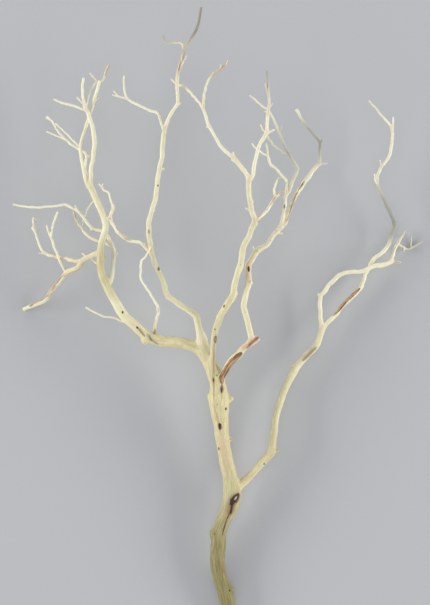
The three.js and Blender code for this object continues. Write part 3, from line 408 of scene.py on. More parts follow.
mark("stain", "middle", [(-16.6, 345), (-16.8, 362), (-16.4, 392)], 4, 0.1, 0.52, 0.25)
mark("stain", "middle", [(-14.4, 393.4), (-13.8, 403.4)], 5.4, 0.5, 1)
mark("heart", "middle", [(-14.5, 396.6), (-13.8, 400.4)], 2.6, 0, 0.62)
mark("knot", "middle", [(-15, 413), (-15, 414)], 1.6, 0.3)
mark("knot", "middle", [(-1.6, 447), (-1.2, 450)], 2.4, 0.5)
mark("stain", "middle", [(23.2, 509), (23.2, 511)], 2.2, 0, 0.5)
mark("stain", "middle", [(37.3, 561), (37.3, 563)], 2.2, 0, 0.5)
piece("middle_limb", "sanded_wood")

grow("middle_limb_left_branch", "middle left end", "middle", rise=[136, 129, 120], path=[
    (35.8, 637.6, 7.2), (33.8, 643.6, 7), (29, 650.5, 6.8), (22.8, 658.5, 6.5), (16.1, 667, 6.5),
    (8, 674.6, 5.8), (0, 680.4, 5.3), (-7.9, 689.7, 4.6), (-14.4, 701.2, 4.4), (-20.2, 711.6, 4.6),
    (-24.2, 718.8, 5), (-27.6, 728, 4.5), (-30, 736, 4.4), (-33.2, 745, 4.2),
], stubs=[(14.5, 669.5, 12, 679.6, 2.8, 1), (20, 661, 9, 667.8, 2.6, 1), (-22, 717, -28.8, 716.3, 2.2, 0)])
grow("middle_limb_left_branch", "middle left upright", "middle left end", rise=[124, 127, 129], path=[
    (-32.4, 743.5, 4), (-32.3, 752.7, 3.9), (-31.7, 763.1, 3.8), (-29.7, 773.5, 3.7), (-26.5, 783.3, 3.6),
    (-22.2, 790.4, 3.5), (-17.2, 795.2, 3.3), (-9.4, 801.4, 3), (-4.2, 805.6, 2.8), (0.8, 809.4, 2.6),
    (3, 815.7, 2.3),
], stubs=[(-22, 791.5, -16.8, 799.2, 2, 1), (-6, 804, -7, 811, 2, 1)], warm=(0.2, 0.4, 0.8, 0.85))
grow("middle_limb_left_branch", "middle left outer", "middle left end", rise=[108, 97, 89, 86], path=[
    (-33.4, 745, 3.7), (-39, 753.4, 3.6), (-47.7, 763.4, 3.7), (-55.5, 772.5, 3.7), (-63, 778.4, 3.5),
    (-70.5, 780, 3.1), (-75.7, 783.9, 2.8), (-80.9, 788.8, 2.5),
], grey=(0, 0.2))

mark("stain", "middle left upright", [(-5, 806), (3.6, 816)], 2.2, 0, 0.6)
piece("middle_limb_left_branch", "sanded_wood")

grow("middle_limb_right_branch", "middle right end", "middle", rise=[143, 147, 149, 148], path=[
    (36, 636.5, 6.6), (39, 639.5, 6.4), (42.1, 646, 6), (43.5, 657.5, 5.5), (45.9, 669.2, 5.3),
    (48.7, 681, 5.2), (52.9, 692.6, 5.3), (59, 701.6, 5.6), (62.4, 708.6, 6), (62.9, 718.6, 4.8),
    (63.5, 730.3, 4.7), (64.6, 740.9, 5.1), (65.9, 750, 4.2), (65.6, 761.5, 3.7), (64.8, 772, 3.3),
    (64.3, 783.6, 2.9), (63.2, 792.7, 2.6), (62.4, 799.9, 2.3),
], stubs=[
    (62.5, 706.5, 74.4, 712.6, 3.6, 1), (64, 737, 59, 740.6, 2.2, 1), (66, 746, 71.6, 752.2, 2.8, 0),
    (64, 764, 59.8, 781.8, 2.2, 2),
], grey=(0, 0, 0, 0.1, 0.3, 0.9))

piece("middle_limb_right_branch", "sanded_wood")

grow("middle_side_twig", "middle side", "middle", rise=[118, 112], path=[
    (44, 578, 6), (50, 579.6, 5.4), (55.3, 584.2, 4.9), (62.2, 591.4, 5), (67, 598, 4.9), (71.2, 605, 4.4),
    (76, 612, 4.6),
], warm=(0, 0.3))
grow("middle_side_twig", "middle side hook", "middle side", rise=[112, 110], path=[
    (75.6, 611.4, 3.4), (73.9, 615, 3.2), (73.5, 622, 3), (75.7, 630.3, 2.9), (77.4, 635.6, 2.8),
    (79.2, 638.9, 2.8), (83.2, 641.2, 2.6),
])
grow("middle_side_twig", "middle side outer", "middle side", rise=[107, 104], path=[
    (75.4, 611.4, 3.6), (79.6, 615, 3.6), (84.4, 618.4, 3.2), (89.2, 620.6, 2.8), (93, 621.8, 2.4),
], stubs=[(80, 614.6, 82.8, 622, 2.2, 0)])

mark("warm", "middle side", [(44, 574), (53, 586)], 5, 0, 0.75)
mark("warm", "middle side", [(67, 598), (71.5, 605), (77, 613)], 5, 0, 0.65)
mark("stain", "middle side", [(72, 607), (75.5, 611.5)], 3, 0, 0.4)
piece("middle_side_twig", "sanded_wood")


# ---- Front limb and its ends ----
# The limb that bends round in front of the middle one. A strip of thin brown bark is left on it below a blunt
# stub, and it ends in three twigs.

grow("front_limb", "front", "trunk", rise=[77, 92, 98, 102, 105, 106], path=[
    (-7.5, 325, 9), (-5.6, 336, 10), (-3, 346, 9.8), (3.4, 357.2, 10.4), (13.2, 369.2, 10.8),
    (24.8, 381.6, 10.4), (33.8, 389.6, 9.8), (38.8, 398, 9.2), (38, 408, 8.8), (35.3, 420, 8.8),
    (31.4, 434, 9), (28, 449, 8.8), (29.6, 460, 8.8), (32.2, 470, 8.6), (35, 480, 9.2), (35.3, 493, 9.4),
    (35.2, 504, 9.2), (35.9, 512.6, 9.2), (40.4, 519.4, 9), (45.2, 527.2, 9.4), (53.5, 534.9, 8.8),
    (62.4, 540.8, 7.7), (69.8, 549.8, 7.5), (76.4, 558.6, 7.3), (83.2, 566.6, 7.5),
], stubs=[
    (38, 392, 50.3, 401.2, 9.4, -1), (36, 482, 41.4, 483.6, 4.4, 0), (46, 529, 42, 538, 2.2, 2),
    (78, 558, 86.8, 557.4, 2.8, -1),
])

mark("bark", "front", [(-8, 326), (-5.4, 340), (2.4, 352.6), (12, 366.4), (24, 377.5)], 9.6, taper=0.2)
mark("blush", "front", [(27, 385.5), (35, 391)], 8, 0, 1)
mark("blush", "front stub 1", [(34, 388), (42, 396), (52, 403)], 9, 0, 1, 0.2)
mark("stain", "front stub 1", [(33, 386), (41, 395), (51, 402.5)], 4.6, 0, 0.92, 0.25)
mark("knot", "front", [(35.2, 500.5), (35.2, 507.5)], 3.4, 0.9, 0.9)
mark("stain", "front", [(36, 484), (38, 486)], 3, 0, 0.5)
mark("blush", "front", [(37, 484), (36, 516)], 9, 0, 0.6)
mark("stain", "front", [(47, 529), (49, 531)], 2.6, 0, 0.45)
piece("front_limb", "darker_wood")

grow("front_limb_right_branch", "front right", "front", rise=[102, 97, 90, 82, 74], path=[
    (83.4, 566.8, 6.6), (89.4, 570.6, 6.2), (92.4, 580, 5.8), (95.8, 590.6, 5.6), (100.4, 602.8, 5.8),
    (105.2, 612.4, 5.8), (111, 622.4, 6.1), (116.6, 630.6, 6.6), (122.4, 638.2, 6.8), (130.2, 649.6, 6.2),
    (136.5, 657, 6.4), (141.6, 662, 5.8), (142.2, 670.5, 4.3), (142.4, 681, 4), (142.2, 691.5, 4),
    (137.4, 700.2, 3.6), (130.7, 707.8, 3.6), (124.2, 715.6, 3.9), (118.7, 723.6, 3.9), (112.3, 733.8, 3.9),
    (107.6, 742.6, 4.3),
], stubs=[
    (142, 661, 154, 662.5, 3, -1), (142, 690, 145.6, 698.4, 2.5, 0), (118.8, 722.4, 113, 723.8, 2.2, 1),
], grey=(0, 0, 0, 0.1, 0.9, 0.8, 0))

mark("warm", "front right", [(90, 568), (99, 596), (109, 620)], 5, 0, 1, 0.4)
mark("stain", "front right", [(92.6, 574), (100, 598), (106.4, 614)], 2.4, 0, 0.8, 0.4)
mark("stain", "front right", [(110, 622), (119, 636)], 4, 0.3, 0.6)
mark("knot", "front right", [(113.8, 628.6), (116.4, 632)], 2, 0.4, 0.8)
piece("front_limb_right_branch", "sanded_wood")

grow("front_limb_left_branch", "front left", "front", rise=[109, 113, 118, 124], path=[
    (83.4, 566.8, 6.4), (85.6, 575, 6), (87.6, 584.6, 5.8), (89.2, 596.6, 5.4), (90.4, 607.4, 5.1),
    (92, 616, 5.5), (92.4, 625.4, 4.8), (93.4, 632.8, 4.8), (90.4, 638.2, 4), (82.8, 646.5, 3.7),
    (74.8, 655.2, 3.8), (68.2, 660.8, 4), (65.1, 669.4, 4), (63.5, 676, 3.8), (63.1, 683.5, 2.7),
    (61.8, 691.9, 2.4),
], stubs=[(90, 608, 85.4, 613, 2, 1)])
grow("front_limb_left_branch", "front left twig", "front left", rise=[127, 126], path=[
    (63.6, 674.4, 3), (57.2, 676, 2.7), (51.4, 680.8, 2.6), (44.9, 685.4, 2.6), (40.4, 691.7, 2.3),
])

mark("stain", "front left", [(89.2, 595), (89.2, 600)], 2.8, 0, 0.85)
mark("stain", "front left", [(89.6, 597), (90.6, 586), (91.6, 575)], 1.8, 0, 0.55, 0.3)
piece("front_limb_left_branch", "sanded_wood")

grow("front_limb_upper_branch", "front upper", "front left", rise=[119, 125, 131, 134], path=[
    (92.2, 615.5, 5), (96.2, 620.8, 4.8), (99.2, 629, 4.7), (100.8, 635.2, 4.9), (103.3, 640.3, 5.1),
    (106.7, 647.3, 5.2), (108.4, 654.2, 5.2), (103.6, 662.4, 4.9), (98.2, 672.7, 4.5), (92, 683.2, 3.9),
    (86.9, 693.9, 3.6), (82, 705.6, 3.5), (77.4, 717.3, 3.3), (72.8, 727.7, 3.1), (67.6, 738, 2.9),
    (62.4, 743.6, 2.8), (55.9, 747.4, 2.7), (49.4, 753, 2.6), (42.9, 758.9, 2.4), (36.8, 763.8, 2.2),
], stubs=[(81.5, 706, 84.9, 718, 2.4, 2)], grey=(0.1, 0.35, 0.7, 0.4, 0.05, 0.1))
grow("front_limb_upper_branch", "front upper twig", "front upper", rise=[126, 130, 132], path=[
    (98, 673.5, 3), (88.4, 676.3, 2.8), (80.6, 683.2, 2.7), (72.8, 688.9, 2.7), (67.6, 696.5, 2.6),
    (63.1, 703.3, 2.5), (55.9, 713.2, 2.4), (53.1, 719.9, 2.2),
], grey=(0.5, 0.2))

piece("front_limb_upper_branch", "sanded_wood")


# ---- Left limb ----
# The thick bow on the left, solid and nearly bare of bark, with two thin twigs below. It is cracked along the
# grain where it turns up.

grow("left_limb", "left", "trunk", rise=[59.5, 62, 64, 66, 67, 66, 62.5, 58], path=[
    (-15, 345, 17.5), (-18.4, 355.6, 18.8), (-24.6, 367.6, 17.8), (-34.2, 379.4, 16.8), (-47, 388, 15.8),
    (-60, 391.8, 15.6), (-71, 394.2, 15.8), (-84, 394.4, 15.4), (-96, 395.4, 16.8), (-107.4, 399.5, 17.2),
    (-118.6, 405.2, 15.4), (-128.8, 413.2, 14.7), (-138.6, 421.8, 14.7), (-149.4, 432.2, 14.6),
    (-158.2, 444.6, 14.2), (-166.6, 458.6, 13.3), (-174.3, 472.2, 13), (-179.7, 483.2, 12.4),
    (-184, 496, 11.6), (-186.6, 509.4, 12), (-187, 522.4, 11.4), (-186.6, 532, 10.6), (-185.3, 542, 9.9),
    (-182.8, 552.3, 9.4), (-179.8, 562.7, 9.8), (-178.9, 571, 10.2), (-181.3, 580, 10), (-185.4, 590, 9.8),
    (-189.7, 600, 9.6), (-194, 610.7, 8.9), (-198.6, 620.5, 9.6), (-202.9, 629.1, 10.2),
], stubs=[(-114, 402, -123.4, 393.8, 10, 0), (-183, 520, -179.2, 521.8, 5, 1)],
    dull=(0.08, 0.04, 0, 0.04, 0, 0, 0.14, 0.22, 0, 0, 0), pale=(0, 0, 0, 0, 0.3, 0.7, 0, 0, 0.9, 0.5, 0.5))
grow("left_limb", "left low twig", "left", rise=[60, 56, 52], path=[
    (-146, 425, 3.4), (-152.2, 424.6, 3.5), (-157.8, 426.7, 3.1), (-164.8, 430.6, 2.9), (-171.8, 431.5, 2.8),
    (-180.3, 432.3, 2.8), (-188.7, 435.7, 2.8), (-199.9, 441.3, 2.7), (-209, 446.4, 2.3),
])
grow("left_limb", "left high twig", "left", rise=[57, 49, 46], path=[
    (-186, 508, 2.8), (-191.8, 512, 2.5), (-201.6, 518.3, 2.4), (-214.2, 527, 2.2),
])

mark("knot", "left", [(-132.2, 416.8), (-131.2, 415.6)], 2.8, 0.5)
mark("stain", "left", [(-131, 417), (-120, 402.5)], 4, 0.2, 0.7)
mark("knot", "left", [(-131.6, 416), (-120.7, 403.4)], 1.1, 0.4, 0.6)
# the second crack is a real dent; its grey band is painted shade beside the swollen ridge, and its dark line
# is partly the crack's own colour and partly painted shade
mark("grey", "left", [(-117, 407), (-112, 399), (-100, 390.6)], 4.6, 0, 0.75)
mark("knot", "left", [(-114, 405.4), (-111.3, 398.7), (-100.6, 391)], 1.3, 0.5, 0.75)
mark("swelling", "left", [(-120, 401), (-113, 396)], 8, -0.9)
mark("knot", "left", [(-153.6, 437.6), (-153.6, 440.2)], 2.2, 0.5)
piece("left_limb", "sanded_wood")

grow("inner_twig", "inner", "left", rise=[74, 83, 90, 95, 97], path=[
    (-106, 401, 6.6), (-105.8, 407.5, 5.2), (-105.4, 415.4, 4.4), (-103.3, 426.6, 3.9), (-100.4, 437.6, 4.1),
    (-100.5, 446.4, 4.4), (-106.8, 457.4, 3.3), (-113.2, 468.4, 3.2), (-120.8, 479.4, 3.1),
    (-126.8, 489.8, 3.1), (-126.4, 501, 3.1), (-125.8, 514.8, 3), (-119.6, 522, 2.9), (-115.2, 528.3, 2.8),
    (-112, 537, 2.3),
], warm=(0.5, 0.35, 0.05, 0, 0, 0, 0))

mark("stain", "inner", [(-107, 401), (-105, 414)], 4.4, 0, 0.7)
mark("stain", "inner", [(-101, 438), (-100, 446)], 2.4, 0, 0.5)
piece("inner_twig", "sanded_wood")


# ---- Claw ----
# The limb that bends down like a claw on the far left and rests on the table with its tip. Its upper edge
# keeps an orange skin of inner bark.

grow("claw_limb", "claw", "left", rise=[56, 44, 27, 12, 2.86], path=[
    (-186, 528.6, 9), (-191.5, 527.4, 8.8), (-200.9, 523.7, 7.6), (-209, 520.4, 7.2), (-215, 515.8, 8.2),
    (-216.8, 510.8, 8.4), (-221, 506.4, 8.2), (-228.2, 502.7, 7.9), (-236.2, 500.3, 8.2),
    (-241.4, 494.2, 7.2), (-248.1, 485.4, 6.8), (-255.9, 477.4, 6.8), (-261.6, 470.8, 6.8), (-265, 462.8, 7),
    (-273, 455.6, 6.6), (-287, 450, 6.4), (-302.7, 443.6, 5.6),
], warm=(0.1, 0.3, 0.5, 0.6, 0.4, 0))
grow("claw_limb", "claw upper twig", "claw", rise=[46, 38, 30, 24], path=[
    (-213, 516.6, 5.4), (-220.4, 515.8, 6.2), (-230.8, 517.2, 5.8), (-241.2, 519.7, 5.5),
    (-252.9, 522.3, 5.1), (-264, 524.4, 4.9), (-270.8, 527.8, 4.6), (-275, 533, 4.1), (-279, 541, 3.9),
    (-282.8, 551, 3.8), (-285.4, 561.4, 3.7), (-287.2, 569, 3.6), (-288, 573.6, 3), (-289, 577.4, 2.8),
    (-288.4, 580, 2.8), (-286.2, 581.2, 2.8), (-284.4, 579.8, 2.7), (-284.5, 577, 2.5),
], stubs=[(-271, 527, -280, 528, 2.5, 0), (-286, 562.6, -290.8, 566.6, 4, 0)], warm=(0.2, 0.5, 0.4, 0, 0, 0))
grow("claw_limb", "claw middle twig", "claw", rise=[50, 54, 57, 59], path=[
    (-238.6, 498, 4.4), (-241.4, 503, 4.1), (-246.4, 512.4, 3.9), (-250.8, 523, 3.8), (-254.4, 532.8, 3.8),
    (-258.2, 541.9, 3.6), (-260.9, 550.8, 3.5), (-260.3, 561.4, 3.3), (-258, 571.4, 3.1), (-255, 579.8, 3),
    (-251.4, 589.4, 2.7),
])
grow("claw_limb", "claw middle side twig", "claw middle twig", rise=[52, 50], path=[
    (-260.8, 550, 2.8), (-263.4, 555.6, 2.6), (-266.2, 562.3, 2.5), (-267.9, 569.4, 2.2),
])

mark("stain", "claw", [(-294, 448.6), (-288.6, 450.6)], 3, 0.2, 0.8)
claw_edge = [(-291, 451), (-274, 457.4), (-266.6, 463.8), (-256.6, 478.2), (-241.6, 496.6)]
mark("warm", "claw", claw_edge, 5, 0, 1, 0.3)
mark("stain", "claw", [(-284, 453.8), (-274.2, 457.8), (-266.8, 464), (-262.6, 472)], 2.2, 0, 0.75, 0.3)
mark("stain", "claw", [(-259, 476.6), (-249.5, 486.6), (-242.4, 496)], 2.2, 0, 0.75, 0.3)
mark("stain", "claw", [(-233, 509), (-222, 514)], 2.2, 0, 0.6)
mark("stain", "claw upper twig", [(-264, 522.6), (-252, 520)], 1.8, 0, 0.6)
piece("claw_limb", "darker_wood")


# ---- Side limb ----
# It leaves the bow on the right, passes behind it and ends in two long strands and a thread of a twig.

# the side limb takes the pale tone in full: painted light, standing in for the light that the bow shades from
# it
grow("side_limb", "side", "left", rise=[60, 55], path=[
    (-176.8, 478, 7.4), (-172.7, 484.2, 7.9), (-170.3, 492, 6.9), (-168.7, 503, 6.5), (-167.7, 514.6, 6.2),
    (-166.7, 524, 6.4), (-167.2, 532.4, 6), (-170.6, 540.8, 5.8),
], stubs=[(-166.5, 525, -160, 527, 3.8, 1)], pale=(1, 1))
grow("side_limb", "side upper strand", "side", rise=[51.5, 45.5, 38, 30, 22], path=[
    (-169.4, 538.6, 5.4), (-172, 545.4, 5.1), (-175.8, 552, 4.9), (-180.2, 557.8, 4.7), (-185.4, 561, 4.6),
    (-192, 562.8, 4.6), (-199.6, 565.4, 4.8), (-205.5, 571.4, 4.4), (-211.5, 580.3, 4.2),
    (-219.7, 589.6, 4.2), (-229.5, 596.2, 4), (-240.6, 600.6, 3.8), (-252.9, 598.8, 3.7),
    (-267.2, 597.6, 3.6), (-281.5, 596.6, 3.5), (-294.5, 597.2, 3.3), (-304.9, 598.7, 3.1),
    (-318.6, 600.9, 2.7),
], stubs=[(-219.2, 589, -225.6, 600, 2.6, 1), (-199.6, 565, -202, 562, 3, 0)])
grow("side_limb", "side lower strand", "side", rise=[50.5, 43], path=[
    (-170, 538.6, 4.4), (-175.8, 541.2, 4.3), (-180, 543.8, 4.2), (-186, 545, 4.2), (-192, 546.2, 4.1),
    (-200.9, 550, 4), (-208.4, 555.8, 3.8), (-212.8, 562.2, 3.6), (-216, 567.2, 3.5), (-219.6, 569.4, 3.4),
    (-222.4, 574.8, 3.1), (-225.2, 582.6, 2.9), (-227.4, 590, 2.7),
], warm=(0, 0, 0.2, 0.8, 0.5))
grow("side_limb", "side thin twig", "side lower strand", rise=[41.5, 41.5, 43, 44], path=[
    (-215.2, 566, 2.4), (-213.7, 571, 2.3), (-213.3, 576.2, 2.2), (-210.2, 583.8, 2.2), (-207.4, 592.4, 2.2),
    (-202.4, 600.3, 2.1), (-196.6, 607.4, 2),
])

piece("side_limb", "sanded_wood")


# ---- Crown of the left limb ----
# Three stems at the top of the bow, which cross each other and end in thin twigs.

grow("left_crown_right_stem", "crown right", "left", rise=[61, 64, 66.5, 67], path=[
    (-202.8, 629.6, 7.6), (-201.9, 636, 7), (-201.8, 640.5, 6.3), (-201.2, 650, 6.1), (-200.4, 659.6, 6.2),
    (-198.3, 670, 6.3), (-196.8, 681, 6.4), (-196, 692, 6.9), (-196.8, 707.5, 6.5), (-199.8, 720.5, 6.1),
    (-203.4, 732.2, 6), (-207.2, 741.2, 5.6), (-210.7, 748, 5),
], stubs=[(-209.6, 748, -222.6, 762, 2.6, 2)])
grow("left_crown_right_stem", "crown blunt twig", "crown right", rise=[69, 72], path=[
    (-210.4, 747.4, 4.4), (-212.2, 756, 4), (-213.8, 766, 4), (-213.9, 777, 4), (-212.4, 790.5, 3.7),
])
grow("left_crown_right_stem", "crown far twig", "crown right", rise=[66, 64], path=[
    (-208, 742, 4.2), (-216.3, 744.6, 3.8), (-224.3, 748, 3.6), (-234.7, 750.8, 3.6), (-246.2, 753.8, 3.4),
    (-256.6, 758.6, 2.6),
])
grow("left_crown_right_stem", "crown crossing twig", "crown right", rise=[65, 62, 60, 60, 60], path=[
    (-209, 745, 3.6), (-206.8, 756, 3.1), (-203, 767.2, 2.9), (-199, 776.5, 2.9), (-194.2, 783.4, 2.9),
    (-188.6, 785, 2.8), (-183.6, 787, 2.9), (-180.8, 793.4, 3.1), (-178.2, 802.5, 3.2), (-174.3, 809.6, 3),
], stubs=[(-191.4, 784.6, -203.6, 798.8, 2.4, 2)], warm=(0, 0, 0, 0.3, 0.9, 1))

piece("left_crown_right_stem", "sanded_wood")

grow("left_crown_left_stem", "crown left", "left", rise=[59, 58, 58, 63, 69], path=[
    (-204.4, 628.6, 7), (-208.3, 636, 6.4), (-210.6, 644.7, 5.7), (-212.4, 653, 5.2), (-214.2, 663.3, 4.8),
    (-216, 672.4, 4.7), (-217, 681.5, 5), (-216.9, 690, 5.2), (-214.4, 700, 4.9), (-210.7, 711.4, 4.8),
    (-207.4, 721.8, 4.8), (-204.5, 731, 4.7), (-202.6, 738, 4.8), (-199.7, 746.5, 5), (-197.2, 755.8, 5),
    (-194.3, 765, 4.9), (-191.2, 775.2, 4.7), (-187.8, 785.6, 4.6),
], stubs=[(-197, 755, -189.6, 761.3, 2.4, 0)])
grow("left_crown_left_stem", "crown left side twig", "crown left", rise=[57.5, 56.5], path=[
    (-216, 685.6, 3), (-228.2, 696.8, 2.8), (-237, 706.2, 2.7), (-246.4, 715, 2.6), (-254.2, 722.4, 2.3),
])

piece("left_crown_left_stem", "sanded_wood")

grow("left_crown_rear_stem", "crown rear", "left", rise=[50, 46, 43, 40], path=[
    (-204, 627, 5), (-207.4, 638, 4.4), (-209.4, 650.3, 4), (-209.4, 664.4, 3.9), (-207.2, 672.8, 4.7),
    (-210.8, 679, 3.7), (-217.2, 682.4, 3.5), (-223, 685.6, 3.5), (-230.8, 691.3, 3.5), (-239.9, 699.1, 3.4),
], stubs=[(-208, 673.6, -202.6, 673.6, 3, 0)])
grow("left_crown_rear_stem", "crown rear low twig", "crown rear", rise=[37, 34], path=[
    (-238.4, 698, 2.8), (-249, 702.3, 2.4), (-259.4, 706.9, 2.3), (-267.9, 710.4, 2.1),
])
grow("left_crown_rear_stem", "crown rear high twig", "crown rear", rise=[37, 32, 28], path=[
    (-239, 698.4, 3.2), (-245.3, 704.3, 3), (-250.5, 710.3, 2.9), (-255.9, 719.3, 2.8), (-259.5, 725.8, 2.8),
    (-267.4, 732.3, 4.8),
])

piece("left_crown_rear_stem", "sanded_wood")


# ---- Rear limb and its ends ----
# The limb behind the crotch, which rises from the foot of the bow and forks far out in two ends. The right
# end keeps some tan bark.

grow("rear_limb", "rear", "left", rise=[64, 72, 80, 86], path=[
    (-25, 364, 17), (-30.4, 380, 19), (-34.4, 396, 16.6), (-37.4, 407, 12.4), (-40.4, 420, 9.9),
    (-43.3, 433.2, 10.2), (-53.6, 441.2, 8.8), (-64.8, 448.2, 8.6), (-74.6, 455.2, 8.5), (-84.2, 462.2, 8.7),
    (-88.7, 470.3, 8.5), (-91.1, 479.6, 8.3), (-94.5, 489.7, 8), (-98.8, 499.6, 7.8), (-104.6, 510.6, 7.4),
    (-108.3, 521.6, 7.2), (-110.8, 532, 7.4),
], dull=(0.12, 0, 0, 0, 0.26, 0.3), pale=(0, 0.6, 0.3, 0, 0, 0))

mark("stain", "rear", [(-99.6, 502.4), (-98.4, 507)], 4.4, 0.4, 1)
mark("swelling", "rear", [(-88.6, 460), (-86.6, 462.5)], 4, -0.7)
mark("swelling", "rear", [(-38.6, 440), (-36.6, 437)], 5, -0.9)
piece("rear_limb", "sanded_wood")

grow("rear_limb_upper", "rear upper", "rear", rise=[88, 87, 85, 84], path=[
    (-109.6, 526, 6), (-112.2, 542, 7.9), (-114.2, 557, 7.7), (-114.2, 571.2, 7.5), (-112.6, 581, 7.3),
    (-109.9, 590.9, 7.3), (-107.2, 600, 7.1), (-104.2, 610.4, 7), (-102.9, 619.5, 7.1), (-102, 630, 7.1),
    (-100.3, 642.4, 7), (-98.8, 652, 6.9), (-96.4, 662.4, 6.7), (-94.2, 673, 7), (-93.8, 684.5, 7),
    (-93.1, 695, 7), (-91.9, 705.3, 7), (-90.5, 715.7, 6.6),
], stubs=[(-110, 590, -104.4, 592, 2, 1), (-97, 652, -90.4, 655, 3.2, 1)],
    follows=True, dull=(0.25, 0.12, 0.06, 0, 0, 0.15))

mark("stain", "rear upper", [(-114, 557), (-114, 563)], 3, 0, 0.7)
mark("knot", "rear upper", [(-100.3, 628.4), (-100.3, 629.6)], 2.2, 0.4)
piece("rear_limb_upper", "sanded_wood")

grow("rear_limb_left_branch", "rear left end", "rear upper", rise=[80, 71, 63, 58], path=[
    (-92.3, 713.6, 5), (-95.9, 725, 4.4), (-98.6, 733, 4.3), (-102.2, 738.8, 4.4), (-109.8, 740.8, 3.9),
    (-119.9, 745, 3.8), (-130.3, 750.4, 3.8), (-139.4, 754.5, 3.7), (-146.6, 759.5, 3.6),
    (-149.7, 767.3, 2.9), (-151.8, 777.4, 2.8), (-152.1, 786.5, 2.7), (-151.4, 793.6, 2.6),
])
grow("rear_limb_left_branch", "rear left tip", "rear left end", rise=[63, 62], path=[
    (-146.2, 759.4, 3.2), (-155, 761.8, 2.9), (-161.5, 763.4, 2.5), (-168.7, 765.4, 2.1),
], stubs=[(-158.6, 762.8, -168, 771.4, 2.2, 1)])

piece("rear_limb_left_branch", "sanded_wood")

grow("rear_limb_right_branch", "rear right end", "rear upper", rise=[94, 102, 108, 112], path=[
    (-90.2, 715, 5.4), (-85.1, 729, 5.1), (-80.7, 737.2, 5), (-75.4, 745.5, 5.2), (-71, 751.4, 5.3),
    (-70.9, 759, 5), (-71.4, 768.3, 5), (-71.8, 779.4, 5.2), (-71.8, 788, 5.4), (-71.1, 796.9, 5.4),
    (-68.4, 805, 5.4), (-65.6, 813.8, 5), (-63.7, 822.9, 4.9), (-63, 831, 4.5), (-59.4, 838, 4),
    (-53.6, 846.3, 4.1), (-47.1, 855, 4.3), (-42.8, 862.9, 4.6), (-39.5, 873, 3.9), (-37.6, 884, 3.8),
    (-35.4, 895.7, 3.5),
], stubs=[(-70, 799, -57, 824.4, 2.2, 8), (-71.4, 752, -66.2, 751.4, 3, 0)],
    warm=(0, 0, 0.2, 0.6, 0.3, 0.2), grey=(0, 0, 0, 0.3, 1, 1))
grow("rear_limb_right_branch", "rear right curl", "rear right end", rise=[104, 100, 97], path=[
    (-61.8, 833.8, 3.8), (-63.6, 840, 3.4), (-68.5, 843.4, 3.1), (-76.4, 842.8, 2.9), (-84.8, 842.5, 2.8),
    (-90.4, 846, 2.6), (-92.8, 854.1, 2.3),
], warm=(0.2, 0.2), grey=(0.1, 0.3, 0.8))

mark("stain", "rear right end", [(-70, 800), (-66, 816)], 2.6, 0, 0.7)
mark("stain", "rear right end", [(-62, 818), (-60, 832)], 2.6, 0, 0.8)
piece("rear_limb_right_branch", "darker_wood")


# ---- Bronze branch ----
# The branch that crosses under the bow, with bronze coloured bark along its upper edge and a pinkish node.

grow("bronze_side_branch", "bronze", "rear", rise=[84, 80, 77, 72], path=[
    (-110.8, 528, 5.6), (-116, 533.2, 5.1), (-121.6, 538.8, 4.9), (-128.5, 544.2, 4.8), (-136.8, 545, 4.9),
    (-143.1, 546.1, 4.8), (-150.3, 550.2, 4.8), (-156.9, 554.8, 4.7), (-162.1, 560.4, 4.6),
    (-166.3, 568, 4.6), (-170.6, 574.6, 4.9), (-172.4, 580.4, 5.4), (-170.4, 588, 4.9), (-167.8, 594.6, 4.7),
    (-169, 600, 3.6), (-172.3, 609.2, 2.9), (-174.3, 618.2, 2.9), (-177.4, 620.4, 2.9), (-181.6, 621.6, 2.8),
    (-184.4, 626.8, 2.6), (-189.2, 631.6, 2.3),
], stubs=[
    (-121, 538, -119.6, 543.6, 2.4, 1), (-172, 579.6, -177.8, 579.4, 4.2, 0), (-168, 594, -167, 601, 3, 1),
    (-185, 627, -183.2, 632.2, 2, 1),
])

mark("warm", "bronze", [(-159, 557.4), (-150.3, 551.6), (-141, 547.4)], 6, 0, 0.9, 0.4)
mark("swelling", "bronze", [(-156, 555.6), (-146, 548)], 7, -0.9)
mark("stain", "bronze", [(-157, 556), (-150.3, 551.4), (-143, 547.6)], 3.2, 0, 0.6, 0.5)
mark("stain", "bronze", [(-167, 575), (-162, 564), (-156, 557)], 1.6, 0.1, 0.7)
mark("stain", "bronze", [(-176, 579.4), (-172, 579.6)], 4.5, 0, 0.45)
piece("bronze_side_branch", "darker_wood")


# ---- Right limb and its arms ----
# The limb that leaves the trunk low on the right and forks in two arms of thin twigs. The outer arm rests on
# the table, and the upper arm keeps a strip of dark brown bark.

grow("right_limb", "right", "trunk foot", rise=[31, 29, 27, 25, 23, 22], path=[
    (13, 171, 15), (22, 179.6, 14), (33.6, 188.9, 12.2), (43.2, 199.8, 11.4), (58.2, 215.8, 11.5),
    (69.6, 228.2, 12), (71.3, 238, 11.3), (72, 250, 11), (75.4, 271.9, 10.3), (79.8, 294.6, 10.4),
    (85.8, 312.6, 10.5), (93.9, 331.4, 10.7), (101.1, 345.6, 11.6), (109.2, 359.2, 11.2),
    (121.2, 372.4, 10.2), (131.8, 383, 10.2), (138.2, 391.3, 10), (142.1, 401.2, 8.9), (146, 412, 8.9),
    (147.6, 418, 8.6),
], stubs=[(70, 231, 81, 232.8, 6.2, 0), (105, 351, 101.6, 359.6, 5, 0)],
    dull=(0.04, 0.04, 0.15, 0.17, 0.03, 0, 0, 0, 0), pale=(0, 0, 0, 0, 0, 0.2, 0.5, 0.3, 0))

